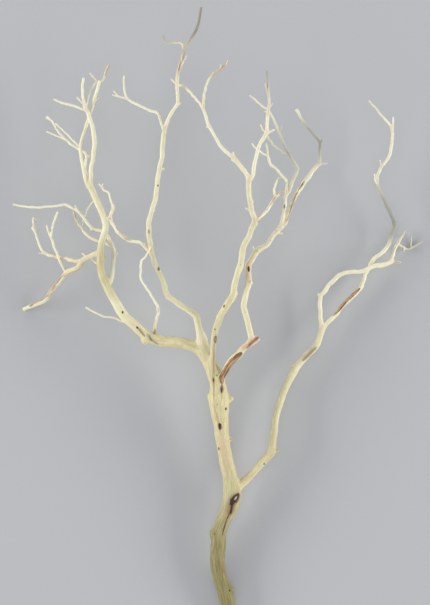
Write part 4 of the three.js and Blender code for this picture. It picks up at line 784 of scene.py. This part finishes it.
mark("knot", "right", [(58.6, 210.4), (59, 211.6)], 2.6, 0.3, 0.8)
mark("swelling", "right", [(101, 358), (103, 362)], 5, -1)
mark("swelling", "right", [(108, 343), (110, 347)], 5, -0.9)
mark("swelling", "right", [(79.4, 305), (80.4, 310)], 5, -0.8)
mark("stain", "right", [(77, 232), (82, 232.8)], 6, 0, 0.6)
mark("grey", "right", [(116, 366), (127.6, 377.4), (137, 387)], 6.4, 0, 0.55)
mark("stain", "right", [(117, 366), (127.6, 376.6), (137.6, 386)], 5.2, 0, 0.6)
piece("right_limb", "sanded_wood")

grow("right_outer_arm", "outer arm", "right", rise=[25, 29, 27, 14, 6], path=[
    (145.4, 413, 7), (144, 428, 6.2), (143.4, 441, 6.1), (142.8, 453, 6.1), (144, 464.2, 6.1),
    (150.1, 470.4, 6.1), (155.1, 478.2, 6.2), (162.3, 486.3, 6.4), (170.7, 493.5, 6.3), (180.3, 498.7, 6.1),
    (191.1, 499.9, 6.1), (201.4, 499.7, 6.1), (210.3, 502.6, 6.3), (218.7, 506, 6), (227.1, 509.6, 6.8),
    (235.5, 509.7, 6.9), (243, 511.5, 6.8), (249.4, 515.1, 6.5), (251.4, 521.3, 5), (253.8, 529.7, 5),
    (257.4, 538.6, 4.8), (261.9, 546.1, 4.3), (267, 553.3, 3.4), (270.8, 561.8, 2.3),
], stubs=[(249, 515.4, 265.3, 513.4, 4, -2), (143, 463, 139.4, 467.4, 3.6, 0)],
    grey=(0, 0, 0, 0, 0, 0, 0, 0, 0, 0.2, 0.55))
grow("right_outer_arm", "outer arm twig", "outer arm", rise=[4.5, 1.68, 2.7, 3.4], path=[
    (260, 543, 3.8), (263.5, 539.6, 3.6), (268, 536.5, 3.5), (273.9, 534, 3.06), (280.4, 535.8, 3),
    (287.2, 539.5, 2.8), (296.1, 545.3, 2.5),
], stubs=[(279.6, 535.8, 280.4, 555, 2.5, 1.5), (269, 536.8, 268.8, 529.2, 2.8, 0.5)], grey=(0.2, 0.5))

mark("warm", "outer arm", [(253, 515), (266, 513.4)], 5, 0, 0.7)
mark("stain", "outer arm", [(256, 514.6), (265, 513.4)], 2.6, 0, 0.6)
piece("right_outer_arm", "sanded_wood")

grow("right_upper_arm", "upper arm", "right", rise=[19, 17, 19, 24], path=[
    (147, 415, 7.6), (153, 422, 6.8), (159, 428, 6.4), (166, 435.4, 6.4), (173, 444.4, 6.4),
    (180, 451.9, 6.4), (187.3, 459.2, 6.4), (195.3, 466.1, 6.2), (202, 472.7, 6.4), (205.8, 480.4, 6.8),
    (208, 489, 6.7), (211.6, 497.4, 6), (216.6, 504.8, 5.6), (219.6, 513.2, 5.6), (224.3, 520.6, 5.7),
    (232.6, 525.3, 5.6), (240.2, 532.1, 5.6), (245.4, 540.2, 5.5), (248.5, 548, 5.4), (251.7, 557.2, 5.3),
    (254.6, 566, 5.3), (255, 574.4, 5.5),
], grey=(0, 0, 0, 0, 0, 0, 0, 0, 0.1, 0.75, 0.9))
grow("right_upper_arm", "upper arm end", "upper arm", rise=[27, 31, 36, 40, 44], path=[
    (254.8, 571, 5.3), (251.8, 580.6, 5.1), (246.8, 591.6, 4.9), (240.5, 605.4, 4.7), (234.4, 618.2, 4.7),
    (229.9, 628, 4.6), (228.5, 637, 4.4), (230.3, 647, 4.3), (233.9, 656, 4.3), (239.4, 662.6, 4.4),
    (245.3, 670.2, 4.3), (249.3, 682.8, 4.3), (250.7, 694, 4.3), (251.6, 707, 4.4), (250.6, 716.2, 4.2),
    (246.6, 721.9, 3.4), (239.9, 729.7, 3.1), (231.7, 738.3, 3), (226.6, 745.7, 2.9), (221, 751, 2.8),
    (216.1, 756.8, 2.8),
], stubs=[(251.8, 714, 253, 732.8, 3, 2), (235.5, 659, 232.8, 668.4, 2.4, 1), (231, 626, 221, 630.6, 3, 0)],
    follows=True, grey=(0.95, 0.8, 0.1, 0, 0, 0.2))
grow("right_upper_arm", "upper arm spur", "upper arm end", rise=[34, 36], path=[
    (229.4, 630, 2.6), (225.6, 637, 2.3), (224.8, 646.4, 2),
], fillet=0.3)

bark_strip = [(163, 434.4), (170, 441.8), (179.8, 453.8), (189.8, 463.8), (203, 474.8)]
mark("bark", "upper arm", bark_strip, 5.8, taper=0.4)
piece("right_upper_arm", "sanded_wood")


# ---- Skin of the wood ----
# The bare surface over all the limbs, which grew as one. It is laid on round each limb's axis, swells into a
# web where two limbs meet, and carries the slight flutes, swellings, knots and dents of sanded wood.

BONE_RINGS = 2  # rings between two joints of the line that stands for a limb in the webs
DIVE = 0.3  # depth to which a limb's skin goes under that of the limb it meets
# length of a rounded tip as a share of its radius, and how round it is
TIPS = {"blunt": (0.5, 0.6), "sawn": (0.5, 0.6), "broken": (0.55, 0.5), "knob": (0.7, 0.6)}
END_GRAIN = {"blunt": 0.25, "sawn": 0.25, "broken": 0.4, "knob": 0.35}  # how much of it shows at a tip
SAWN_RINGS = np.array([0.15, 0.35, 0.55, 0.75, 0.9, 0.975])  # rings of the sawn face, as shares of its radius
END_TURNS = np.radians([12, 24, 36, 48, 60, 72, 82, 90])  # rings of a rounded tip
SIDE = 0.9  # width of half a side of the skin
LEAST_SIDES, MOST_SIDES = 7, 46  # of half the skin round a limb
BLOCK = 10  # rings that go out to the joined wood together
AROUND = 10  # how far round a block the wood of other limbs is looked for
STEPS = 12  # steps of a ray on its way out
PALE_BELOW, PALE_OVER = 6.6, 4.6  # radius below which a limb is paler, and how much thinner the palest is
MARK_KINDS = ("bark", "knot", "stain", "heart", "blush", "grey", "warm")  # those that colour the wood
BARK_RISE = 0.15  # how far bark stands proud
RELIEF, THIN_RELIEF, THIN = 0.019, 0.1, 2.2  # on a thick limb, how much more on a thin one, and how thin
WEB_RISE = 0.6  # furthest that a ray goes out into a web, as a share of its reach
FOOT_TONE = 14  # how far up a limb the tone of the wood that carries it reaches
GRAIN_APART = 40  # between the grains of two limbs, so that no two are alike

order = list(limbs.values())
bones, bone_limb = [], []
for limb in order:
    joints = limb["axis"][np.unique(np.r_[0 : len(limb["axis"]) : BONE_RINGS, len(limb["axis"]) - 1])]
    bones.append(np.hstack([joints[:-1], joints[1:]]))
    bone_limb += [limb["number"]] * (len(joints) - 1)
bones, bone_limb = np.vstack(bones), np.array(bone_limb)
bone_middle = (bones[:, :3] + bones[:, 4:7]) / 2
bone_size = np.linalg.norm(bones[:, 4:7] - bones[:, :3], axis=1) / 2 + bones[:, [3, 7]].max(axis=1)
webs = np.array([limb["web"] for limb in order])


def wood_depths(spots, near):
    """How far each spot is outside each near limb: its distance to the limb's line less the radius there."""
    start, way = bones[near, :3], bones[near, 4:7] - bones[near, :3]
    offset = spots[:, None] - start
    share = np.clip((offset * way).sum(axis=2) / (way**2).sum(axis=1), 0, 1)
    out = np.linalg.norm(offset - share[..., None] * way, axis=2)
    out -= bones[near, 3] + share * (bones[near, 7] - bones[near, 3])
    starts = np.flatnonzero(np.diff(bone_limb[near], prepend=-1))
    return np.minimum.reduceat(out, starts, axis=1), bone_limb[near][starts]


def joined_depth(depths, numbers):
    """Depths of several limbs as one: the least of them, less a web where two are nearly equal, which is a
    quarter of its reach times the square of the share by which they differ less than that reach."""
    joined = depths[:, 0]
    for depth, number in zip(depths[:, 1:].T, numbers[1:]):
        reach = np.maximum(1 - np.abs(joined - depth) / webs[number], 0)
        joined = np.minimum(joined, depth) - reach**2 * webs[number] / 4
    return joined


def smooth_step(value):
    """0 below 0 and 1 above 1, and between them three times the square less twice the cube."""
    value = np.clip(value, 0, 1)
    return value * value * (3 - 2 * value)


def relief(limb, turn, along):
    """Flutes, swellings and nodes of a limb as a share of its radius: waves round it that wander as they go
    along, waves along it, and one-sided bumps where twigs once grew. A thin limb is the more uneven."""
    chance = np.random.default_rng(RELIEF_SEED + limb["number"])
    size = np.median(limb["axis"][:, 3])
    share = RELIEF + THIN_RELIEF * np.exp(-size / THIN)
    height = np.zeros(np.broadcast_shapes(turn.shape, along.shape))
    for waves in range(2, 7):
        length = size * chance.uniform(6, 12)
        drift = chance.uniform(0, FULL_TURN) + along * chance.normal(0, 0.25) / size
        drift = drift + np.sin(FULL_TURN * along / length + waves)
        height = height + share / waves**0.6 * np.cos(waves * turn + drift)
    for length in size * chance.uniform(3, 9, 3):
        height = height + 0.5 * share * np.sin(FULL_TURN * along / length + chance.uniform(0, FULL_TURN))
    spot = size * chance.uniform(2, 6)
    while spot < limb["along"][-1]:
        side = (1 + np.cos(turn - chance.uniform(0, FULL_TURN))) / 2
        wide = size * chance.uniform(0.5, 0.9) + 0.6
        height = height + chance.uniform(1, 4.6) * share * side**2 * np.exp(-(((along - spot) / wide) ** 2))
        spot += size * chance.uniform(3, 9) + 4
    return height


def rays_of(limb, turn, lead, forks):
    """Rays of a limb on a grid of rings and turns, square to its axis at even turns. On the rounded tip they
    lean further and further ahead, on an ellipse that is torn where the twig is broken. The first rings,
    lead in number, are those of a sawn face. Returns for each ring its place on the axis and its lean, and
    for each ray how far out it starts, and its way, both in the drawing and as seen from its own ring."""
    axis, radius = limb["axis"], limb["axis"][:, 3]
    ahead = np.gradient(axis[:, :3], axis=0)
    ahead /= np.linalg.norm(ahead, axis=1, keepdims=True)
    across = np.cross(ahead, (0, 0, 1))
    across /= np.linalg.norm(across, axis=1, keepdims=True)
    frames = np.stack([across, np.cross(across, ahead), ahead], axis=1)

    spot = np.r_[np.zeros(lead, int), np.arange(len(axis)), np.full(len(END_TURNS), len(axis) - 1)]
    lean = np.r_[np.zeros(lead + len(axis)), END_TURNS][:, None]
    length, roundness = (1, 1) if forks else TIPS[limb["tip"]]
    chance = np.random.default_rng(TORN_SEED + limb["number"])
    torn = np.cos(2 * turn + chance.uniform(0, 6)) + 0.7 * np.cos(3 * turn + chance.uniform(0, 6))
    torn = 1 + (0.4 if limb["tip"] == "broken" else 0.05) * torn
    sideways = np.cos(lean) ** roundness
    rays = [np.cos(turn) * sideways, np.sin(turn) * sideways, length * np.sin(lean) * torn]
    rays = np.stack(rays, axis=2)
    start = np.linalg.norm(rays, axis=2)
    local = rays / start[..., None]
    start *= (radius[spot] * np.r_[SAWN_RINGS[:lead], np.ones(len(spot) - lead)])[:, None]
    return spot, lean, start, np.einsum("rsk,rkj->rsj", local, frames[spot]), local


def go_out(limb, centre, start, rays):
    """Takes the rays of a block of rings out to the joined wood of the limbs around, by steps as long as the
    depth that is left, and none further than a web can reach. Returns how far they go, how free they are of
    other wood, and how deep they dive under it, or nothing where no other limb is near."""
    places = centre[:, None] + start[..., None] * rays
    middle = places.mean(axis=(0, 1))
    wide = np.linalg.norm(places - middle, axis=2).max()
    near = np.flatnonzero(np.linalg.norm(bone_middle - middle, axis=1) < wide + bone_size + AROUND)
    if len(np.unique(bone_limb[near])) < 2:
        return None
    ray, base = rays.reshape(-1, 3), start.ravel()
    origin = np.repeat(centre, start.shape[1], axis=0)
    depths, numbers = wood_depths(origin + base[:, None] * ray, near)
    own = np.flatnonzero(numbers == limb["number"])[0]
    foreign = np.delete(depths, own, axis=1)
    nearest = np.delete(numbers, own)[foreign.argmin(axis=1)]
    web = webs[np.maximum(nearest, limb["number"])]
    apart = foreign.min(axis=1) - web
    out, left, pace = base, -joined_depth(depths, numbers), 1.0
    for _ in range(STEPS):
        step = np.minimum(left * pace, base + WEB_RISE * web - out)
        out = out + step
        depths, _ = wood_depths(origin + out[:, None] * ray, near)
        before, left = left, -joined_depth(depths, numbers)
        pace = np.clip(step / np.maximum(before - left, 1e-6), 1, 4)
    beyond = depths[:, own] - np.delete(depths, own, axis=1).min(axis=1)
    free = smooth_step(apart / (web + 1))
    sunk = DIVE * np.clip(beyond / (0.15 * web + 0.3), 0, 1)
    return [grid.reshape(start.shape) for grid in (out, free, sunk)]


def press_marks(places, rays):
    """Strength of each kind of mark at each place, which halves from the middle of the mark to its edge.
    Knots and cracks are pushed in along the rays with a slight rim, and bark stands slightly proud."""
    layers = {kind: np.zeros(places.shape[:2]) for kind in MARK_KINDS}
    low, high = places.min(axis=(0, 1)), places.max(axis=(0, 1))
    for item in marks:
        spots, reach = item["spots"], 2.5 * item["half"].max()
        if (spots.min(axis=0) > high + reach).any() or (spots.max(axis=0) < low - reach).any():
            continue
        away = np.full(places.shape[:2], 9.0)
        for place, half in zip(spots, item["half"]):
            away = np.minimum(away, np.linalg.norm(places - place, axis=2) / half)
        near = 0.5 ** (away**2)
        if item["kind"] in layers:
            layers[item["kind"]] = np.maximum(layers[item["kind"]], near * item["strength"])
        rim = 0.25 * np.exp(-(((near - 0.3) / 0.12) ** 2))
        dent = item["depth"] * (smooth_step((near - 0.25) / 0.6) - rim)
        places = places - dent[..., None] * rays
    rise = BARK_RISE * smooth_step((layers["bark"] - 0.4) * 6)
    return places + rise[..., None] * rays, layers


def close_ends(limb, grids, sides):
    """Faces of a skin whose last ring is drawn to one point, and whose root is closed by one point on the
    axis, inside the wood that carries it. Returns the walls, the fans at both ends, and grids as lists."""
    count = len(grids["places"]) - 1
    foot = {name: grid[0].mean(axis=0) for name, grid in grids.items()} | {"places": limb["axis"][0, :3]}
    lists = {
        name: np.vstack([grid[:count].reshape(-1, 3), foot[name], grid[-1].mean(axis=0)])
        for name, grid in grids.items()
    }
    ring = np.arange(count * sides).reshape(count, sides)
    right = np.roll(ring, -1, axis=1)
    walls = np.stack([ring[:-1], ring[1:], right[1:], right[:-1]], axis=2).reshape(-1, 4)
    root, point = np.full(sides, count * sides), np.full(sides, count * sides + 1)
    fans = np.hstack([[root, ring[0], right[0]], [point, right[-1], ring[-1]]]).T
    return walls, fans, lists


def skin(limb):
    """Skin of a limb: from each spot of its axis rays go out to the joined wood of the limbs around, and
    relief is added where they are free of it. Returns walls, fans, and the layers that the materials read."""
    axis, along, radius = limb["axis"], limb["along"], limb["axis"][:, 3]
    sides = 2 * int(np.clip(round(np.pi * radius.max() / SIDE), LEAST_SIDES, MOST_SIDES))
    turn = np.arange(sides) * 2 * np.pi / sides
    lead = len(SAWN_RINGS) if limb["tip"] == "sawn" else 0
    tip = lead + len(axis)
    forks = any(
        other is not limb and np.linalg.norm(other["axis"][0, :3] - axis[-1, :3]) < 1.5 * radius[-1]
        for other in order
    )
    spot, lean, start, rays, local = rays_of(limb, turn, lead, forks)
    centre = axis[spot, :3]

    free, sunk = np.ones_like(start), np.zeros_like(start)
    free[:lead] = 0
    last = len(start) if forks else tip
    for first in range(lead, last, BLOCK):
        part = slice(first, min(first + BLOCK, last))
        met = go_out(limb, centre[part], start[part], rays[part])
        if met:
            start[part], free[part], sunk[part] = met
    if not lead:
        sunk[: len(axis)] += DIVE * smooth_step(1 - along / (0.6 * radius[0] + 1))[:, None]
    if forks:
        sunk[tip:] += DIVE * smooth_step((lean[tip:] - 0.5) / 0.6)

    way = along[spot][:, None]
    start += free * radius[spot][:, None] * relief(limb, turn[None], way)
    places, layers = press_marks(centre[:, None] + start[..., None] * rays, rays)

    end = np.zeros_like(start)
    end[:lead] = 1
    if not forks:
        end[tip:] = END_GRAIN[limb["tip"]] * smooth_step((lean[tip:] - 0.5) / 0.5)
    straight = local * start[..., None]
    straight[..., 2] += way + limb["grain"][1]
    straight[..., 0] += GRAIN_APART * limb["grain"][0]
    share = way / along[-1] + np.zeros_like(start)
    dull, grey, warm, pale = (
        along_limb(limb["tones"].get(tone, (0, 0)), share) for tone in ("dull", "grey", "warm", "pale")
    )
    # a thin limb is paler, and takes on the tone of the wood that carries it near its foot; the pale tone
    # is laid over that, and on the side limb it is painted light where the bow shades it
    seems = radius[spot] + (limb["carried"] - radius[0]) * np.exp(-along[spot] / FOOT_TONE)
    pale = np.maximum(smooth_step((PALE_BELOW - seems[:, None]) / PALE_OVER), pale)
    grids = {
        "places": places,
        "sunk": sunk[..., None] * rays,
        "straight": straight / 1000,
        "marks": np.stack([layers["bark"], layers["knot"], layers["stain"]], axis=2),
        "tones": np.stack([dull, np.maximum(grey, layers["grey"]), np.maximum(warm, layers["warm"])], axis=2),
        "extras": np.stack([end, layers["heart"], layers["blush"]], axis=2),
        "shade": np.stack([pale, 1 - free, np.zeros_like(start)], axis=2),  # the third is left empty
    }
    return close_ends(limb, grids, sides)


for node in dict.fromkeys(limb["node"] for limb in order):
    quads, fans, layers, total = [], [], {}, 0
    for limb in order:
        if limb["node"] != node:
            continue
        walls, caps, lists = skin(limb)
        quads.append(walls + total)
        fans.append(caps + total)
        total += len(lists["places"])
        for name, rows in lists.items():
            layers.setdefault(name, []).append(rows)
    quads, fans = np.vstack(quads), np.vstack(fans)
    layers = {name: np.vstack(rows) for name, rows in layers.items()}
    places, sunk = layers.pop("places") - PLAN_MIDDLE, layers.pop("sunk")
    mesh = bpy.data.meshes[node + "_skin"]
    mesh.vertices.add(total)
    mesh.vertices.foreach_set("co", places.ravel() / 1000)
    mesh.loops.add(quads.size + fans.size)
    mesh.loops.foreach_set("vertex_index", np.concatenate([quads.ravel(), fans.ravel()]))
    mesh.polygons.add(len(quads) + len(fans))
    starts = np.concatenate([4 * np.arange(len(quads)), quads.size + 3 * np.arange(len(fans))])
    mesh.polygons.foreach_set("loop_start", starts)
    mesh.update(calc_edges=True)
    mesh.shade_smooth()
    for name, rows in layers.items():
        layer = mesh.attributes.new(name, "FLOAT_VECTOR", "POINT")
        layer.data.foreach_set("vector", rows.ravel())
    # the joined wood is shaded as it is before one skin goes under the other, so that no edge shows in a fork
    normals = np.zeros(3 * total, np.float32)
    mesh.vertex_normals.foreach_get("vector", normals)
    mesh.vertices.foreach_set("co", (places - sunk).ravel() / 1000)
    mesh.update()
    mesh.normals_split_custom_set_from_vertices(normals.reshape(-1, 3))


# ---- Studio ----
# A plain pale table, four low soft boxes at its sides and a weak one above, and a camera straight above the
# middle of the picture, so far off that nothing in it leans. Lengths here are in metres.

TABLE_HALF = 6.0
PALE_TABLE = (0.47, 0.475, 0.48, 1)
floor_mesh = bpy.data.meshes.new("table")
corners = [(x * TABLE_HALF, y * TABLE_HALF, 0) for x, y in ((-1, -1), (1, -1), (1, 1), (-1, 1))]
floor_mesh.from_pydata(corners, [], [(0, 1, 2, 3)])
table = bpy.data.objects.new("table", floor_mesh)
bpy.context.scene.collection.objects.link(table)
paper = bpy.data.materials.new("pale_table")
paper.use_nodes = True
paper.node_tree.nodes["Principled BSDF"].inputs["Base Color"].default_value = PALE_TABLE
paper.node_tree.nodes["Principled BSDF"].inputs["Roughness"].default_value = 0.9
table.data.materials.append(paper)

scene = bpy.context.scene
world = bpy.data.worlds.new("studio")
world.use_nodes = True
world.node_tree.nodes["Background"].inputs["Color"].default_value = (0.86, 0.9, 1, 1)
world.node_tree.nodes["Background"].inputs["Strength"].default_value = 0.38
scene.world = world
scene.view_settings.view_transform = "Standard"

LIGHTS_AIM = (0, 0, 0.05)


def soft_light(name, place, size, power):
    """A soft box at a place, turned to the middle of the branch."""
    data = bpy.data.lights.new(name, "AREA")
    data.shape = "RECTANGLE"
    data.size, data.size_y = size
    data.energy = power
    light = bpy.data.objects.new(name, data)
    light.location = place
    light.rotation_euler = (Vector(LIGHTS_AIM) - Vector(place)).to_track_quat("-Z", "Y").to_euler()
    light.visible_camera = False
    scene.collection.objects.link(light)


soft_light("left_box", (-4, 0.1, 1.4), (3.6, 1.4), 132)
soft_light("right_box", (4, 0.1, 1.4), (3.6, 1.4), 132)
soft_light("near_box", (0, -4.2, 1.4), (3.6, 1.4), 60)
soft_light("far_box", (0, 4.2, 1.4), (3.6, 1.4), 60)
soft_light("top_box", (0, 0.1, 3.6), (2.4, 2.4), 14)

DISTANCE = 25.0  # of the camera from the table
COVERED = 0.9075  # height of the picture, measured among the limbs
IN_LIMBS = 0.08  # height over the table at which it is measured
SENSOR = 36  # in mm
camera_data = bpy.data.cameras.new("camera")
camera = bpy.data.objects.new("camera", camera_data)
scene.collection.objects.link(camera)
camera.location = (-0.00384, 0.01098, DISTANCE)
camera_data.lens = SENSOR * (DISTANCE - IN_LIMBS) / COVERED
camera_data.sensor_width = camera_data.sensor_height = SENSOR
camera_data.clip_start, camera_data.clip_end = 1, 100
scene.camera = camera
